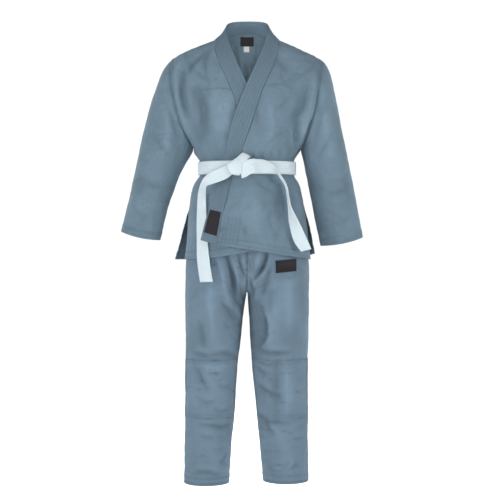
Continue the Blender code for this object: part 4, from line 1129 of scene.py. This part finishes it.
trouserShade = {"legFrom": (-900, -740), "legTo": (-1330, -1100), "legDark": 1.6,
                "crotchWide": 40, "crotchDark": 1.2}
crotchBack, crotchFront = (0, 76, -673), (0, -86, -663)
legCreases = (trouserFrontCreases, trouserBackCreases)
trousers = {
    "leftLeg": {
        "node": "trouser_leg_left", "sharp": 65, "thick": 1.4, "inseam": (20, 80),
        "calm": ((85, 152, -738, -686, -1),), "creases": legCreases, "hemWide": 26,
        "hems": (((117, 0, -1372), (7, 23)),),
        "seams": ((crotchBack, (4, 9)), (crotchFront, (4, 9)))},
    "rightLeg": {
        "node": "trouser_leg_right", "sharp": 65, "thick": 1.4, "inseam": (34, 86),
        "creases": legCreases, "hemWide": 26,
        "hems": (((-130, 0, -1378), (7, 23)),),
        "seams": ((crotchBack, ()), (crotchFront, ()))},
    "leftKneePatch": {"node": "knee_patch_left", "thick": 1.4, "creases": legCreases, "border": (3, 9)},
    "rightKneePatch": {"node": "knee_patch_right", "thick": 1.4, "creases": legCreases, "border": (3, 9)},
    "waistband": {"node": "trouser_waistband", "levels": 2, "thick": 2.5, "border": (4,)},
}

say("trousers")
trouserSewing = newBag()
for name, piece in trousers.items():
    piece["slot"] = "trouser_drill"
    skins[name] = clothSkin(piece)
    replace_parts(clothWall(name, skins[name], piece["thick"], cloths["trouserCloth"]),
                piece["node"])
    sewLines(trouserSewing, skins[name])
closeBag("trouserStitches", trouserSewing, cloths["sewingThread"])


# Belt: stations along each ribbon give its two edges, the upper or outer one first

belt = {"thick": 4.0, "across": 37, "rows": 9, "rowDeep": 0.22, "wave": (31, 70, 0.5),
        "edgePower": 12, "edgeRound": 0.97, "endRows": (3, 5), "endPitch": 3.4,
        "knotCrown": 1.5, "turnThick": 3.0, "turnCrown": 0.8}
knotStations = (
    (-11, -127, -368, 10, -127, -380), (-15, -139, -365.5, 9, -141, -377.5),
    (-30, -147, -379, 0, -150, -388), (-45, -150, -390, -12, -153, -398),
    (-58, -149.5, -401, -16, -154.5, -407), (-54, -148.5, -414, -16, -154, -419),
    (-48, -144, -426, -20, -150, -431), (-45, -129, -425, -22, -131, -430),
)
knotTurnStations = (
    (-22, -150, -398, -15, -149.5, -441.5), (-8, -152.5, -391, -3, -153, -438),
    (8, -152.5, -384.5, 10, -153, -430), (24.5, -151, -382.6, 24.8, -151, -424.6),
)
rightTailStations = (
    (-46, -137.5, -399, -44.6, -137.5, -430), (-62, -137, -402, -60, -137, -441),
    (-86, -136, -411, -83, -136, -451), (-112, -132, -424, -108, -131, -459),
    (-131, -128, -441, -121, -119, -464), (-143, -121, -468, -124, -104, -484),
    (-149, -108, -500, -123, -104, -508), (-152, -91, -560, -121, -109, -560),
    (-152, -92, -625, -118, -113.5, -625), (-150, -100, -690, -112, -121, -690),
    (-141, -112, -752, -102, -123, -751),
)
leftTailStations = (
    (-7, -149, -393, -7, -150, -436), (10, -149, -386, 8, -149, -428),
    (25, -144, -384, 26, -144, -424), (45, -139, -384, 48, -139, -424),
    (64, -135, -390, 70, -134, -425), (84, -134, -404, 90, -121, -428),
    (101, -137, -432, 104, -111, -444), (119, -140, -466, 118, -107, -470),
    (130, -140, -520, 124, -107, -520), (150, -138, -560, 127, -112, -572),
    (173, -130, -606, 140, -120, -626), (194, -120, -652, 163, -118, -660),
)


def bandRows(points, first, second):
    # Place along the first edge and across towards the second, 0 to 1.
    at = np.concatenate(([0], np.cumsum(np.linalg.norm(np.diff(first, axis=0), axis=1))))
    nearest, near = nearestOn(points, first)
    across = near / np.maximum(near + distanceTo(points, second), 1e-6)
    return np.stack((at[nearest], across), axis=1)


def bandFaces(n, m, turned):
    # Faces round and along a band of n rings of m points, and over its two ends.
    faces = []
    for i in range(n - 1):
        for j in range(m):
            a, b = i * m + j, i * m + (j + 1) % m
            face = [a, b, b + m, a + m]
            faces.append(face[::-1] if turned else face)
    for i in (0, n - 1):
        for j in range(m // 2 - 1):
            face = [i * m + j, i * m + j + 1, i * m + m - 2 - j, i * m + m - 1 - j]
            faces.append(face if (i == 0) != turned else face[::-1])
    return faces


def ribbon(name, stations, thick, crown=0.0):
    # A sewn cotton band through its stations, closed all round, quilted along its rows.
    # crown is how far its middle stands above its edges.
    line = smoothLine(stations, 12)
    share = np.linspace(0, 1, belt["across"])
    middle = line[:, None, :3] + (line[:, None, 3:] - line[:, None, :3]) * share[None, :, None]
    along = np.gradient(middle, axis=0)
    across = np.gradient(middle, axis=1)
    normals = np.cross(across, along)
    normals /= np.maximum(np.linalg.norm(normals, axis=2, keepdims=True), 1e-9)
    if normals[:, :, 1].mean() > 0:
        normals = -normals
    flat = middle.reshape(-1, 3)
    wave = ripple(flat, *belt["wave"]).reshape(middle.shape[:2])
    bow = crown * (1 - (2 * share - 1) ** 2)
    middle = middle + normals * (wave + bow)[:, :, None]
    edge = np.sqrt(1 - np.abs(2 * share - 1) ** belt["edgePower"] * belt["edgeRound"])
    half = (thick / 2 - belt["rowDeep"] * rowValley(share, belt["rows"])) * edge
    outer = middle + normals * half[None, :, None]
    inner = middle - normals * half[None, :, None]
    rings = np.concatenate((outer, inner[:, ::-1]), axis=1)
    n, m = rings.shape[:2]
    w = belt["across"]
    flip = np.cross(rings[n // 2, 1] - rings[n // 2, 0], rings[n // 2 + 1, 0] - rings[n // 2, 0])
    turned = flip.dot(normals[n // 2, 0]) < 0
    faces = bandFaces(n, m, turned)
    far = np.cumsum(np.concatenate(([0], np.linalg.norm(np.diff(middle[:, w // 2], axis=0), axis=1))))
    rows = np.stack((np.repeat(far, m), np.tile(np.concatenate((share, share[::-1])), n)), axis=1)
    points = rings.reshape(-1, 3)
    thing = makeObject(name, points, faces, cloths["beltCloth"],
                       np.zeros(len(points)), rows)
    front = np.array([(i * w + j, i * w + j + 1, (i + 1) * w + j + 1, (i + 1) * w + j)
                      for i in range(n - 1) for j in range(w - 1)])
    skin = {"points": outer.reshape(-1, 3), "faces": front[:, ::-1] if turned else front,
            "normals": normals.reshape(-1, 3), "line": outer}
    return thing, skin


say("belt")
wraps = {"node": "belt_wraps", "thick": 6.5, "wave": (33, 80, 0.4),
         "step": 1.3, "stepAt": 0.075, "stepWide": 0.03}  # the lower wrap shows along one edge
skin = clothSkin(wraps)
upper, lower = sorted(skin["edges"], key=lambda edge: -skin["points"][edge][:, 2].mean())[:2]
skin["rows"] = bandRows(skin["points"], skin["points"][upper], skin["points"][lower])
across = skin["rows"][:, 1]
height = -belt["rowDeep"] * rowValley(across, belt["rows"])
height -= wraps["step"] * (1 - smoothStep(across, wraps["stepAt"], wraps["stepAt"] + wraps["stepWide"]))
height += ripple(skin["points"], *wraps["wave"])
raiseSkin(skin, height)
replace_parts(clothWall("beltWraps", skin, wraps["thick"], cloths["beltCloth"]),
            wraps["node"])
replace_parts(ribbon("beltKnot", knotStations, belt["thick"], belt["knotCrown"])[0], "belt_knot")
ribbon("knotTurn", knotTurnStations, belt["turnThick"], belt["turnCrown"])
beltSewing = newBag()
for name, stations, node in (("beltTailRight", rightTailStations, "belt_tail_right"),
                             ("beltTailLeft", leftTailStations, "belt_tail_left")):
    tail, skin = ribbon(name, stations, belt["thick"])
    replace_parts(tail, node)
    for back in belt["endRows"]:
        sew(beltSewing, skin, skin["line"][-back, 2:-2], belt["endPitch"])
closeBag("beltStitches", beltSewing, cloths["whiteThread"])


# Labels: plain woven cloth, sewn down along their edges

wovenLabel = {"cloth": "labelCloth", "slot": "label_dark", "inset": 2.4,
              "ridge": 0.35, "ridgeAt": 1.1, "ridgeWide": 0.9}  # a raised edge all round
labelThick, labelPitch = 0.8, 2.4
labels = {
    "neckLabel": wovenLabel | {"node": "neck_label"},
    "sizeTag": {"node": "size_tag", "cloth": "tagCloth", "slot": "size_tag_white", "inset": 1.6},
    "lapelPatch": wovenLabel | {"node": "lapel_patch"},
    "thighPatch": wovenLabel | {"node": "thigh_patch"},
}

say("labels")
labelSewing = newBag()
for name, piece in labels.items():
    skin = clothSkin(piece)
    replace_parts(clothWall(name, skin, labelThick, cloths[piece["cloth"]]), piece["node"])
    for edge in skin["edges"]:
        sew(labelSewing, skin, insetLine(skin, edge, piece["inset"]), labelPitch)
closeBag("labelStitches", labelSewing, cloths["blackThread"])


say("cuts")


# Studio

def onlyForCamera(tree, plain, seen):
    # The strength that camera rays see, and the plain one for every other ray.
    path = tree.nodes.new("ShaderNodeLightPath")
    mix = tree.nodes.new("ShaderNodeMath")
    mix.operation = "MULTIPLY_ADD"
    mix.inputs[1].default_value = seen - plain
    mix.inputs[2].default_value = plain
    tree.links.new(path.outputs["Is Camera Ray"], mix.inputs[0])
    return mix.outputs[0]


def buildFloor():
    # A plain pale floor, wide enough to meet the backdrop without a line.
    floor, reach = studio["floorZ"], studio["reach"]
    points = np.array([(x, y, floor) for x, y in ((-reach, -reach), (reach, -reach),
                                                  (reach, reach), (-reach, reach))])
    mesh = bpy.data.meshes.new("studioFloor")
    mesh.from_pydata((points * mm).tolist(), [], [(0, 1, 2, 3)])
    thing = bpy.data.objects.new("studioFloor", mesh)
    bpy.context.scene.collection.objects.link(thing)
    material = bpy.data.materials.new("floorPaint")
    material.use_nodes = True
    tree = material.node_tree
    shader = tree.nodes["Principled BSDF"]
    shader.inputs["Base Color"].default_value = (*studio["floorColour"], 1)
    shader.inputs["Roughness"].default_value = 0.95
    shader.inputs["Emission Color"].default_value = (1, 1, 1, 1)
    tree.links.new(onlyForCamera(tree, 0.0, studio["floorGlow"]), shader.inputs["Emission Strength"])
    mesh.materials.append(material)


def buildLights():
    world = bpy.data.worlds.new("studioWorld")
    bpy.context.scene.world = world
    world.use_nodes = True
    tree = world.node_tree
    background = tree.nodes["Background"]
    background.inputs["Color"].default_value = (*studio["worldColour"], 1)
    strength = onlyForCamera(tree, studio["worldStrength"], studio["backdropStrength"])
    tree.links.new(strength, background.inputs["Strength"])
    for name, lamp in lamps.items():
        target = Vector(lamp.get("aim", (0, 0, studio["cameraZ"]))) * mm
        data = bpy.data.lights.new(name, "AREA")
        data.shape = "SQUARE"
        data.size = lamp["size"] * mm
        data.energy = lamp["power"]
        data.spread = math.radians(lamp.get("spread", 180))
        light = bpy.data.objects.new(name, data)
        light.location = Vector(lamp["place"]) * mm
        light.rotation_euler = (target - light.location).to_track_quat("-Z", "Y").to_euler()
        light.visible_camera = False
        bpy.context.scene.collection.objects.link(light)


def buildCamera():
    data = bpy.data.cameras.new("photoCamera")
    data.lens = studio["lens"]
    data.sensor_width = studio["sensor"]
    data.clip_end = 50.0
    camera = bpy.data.objects.new("photoCamera", data)
    camera.location = Vector((studio["cameraX"], studio["cameraY"], studio["cameraZ"])) * mm
    camera.rotation_euler = (math.pi / 2, 0, 0)
    bpy.context.scene.collection.objects.link(camera)
    bpy.context.scene.camera = camera


say("studio")
buildFloor()
buildLights()
buildCamera()
bpy.context.scene.view_settings.view_transform = "Standard"
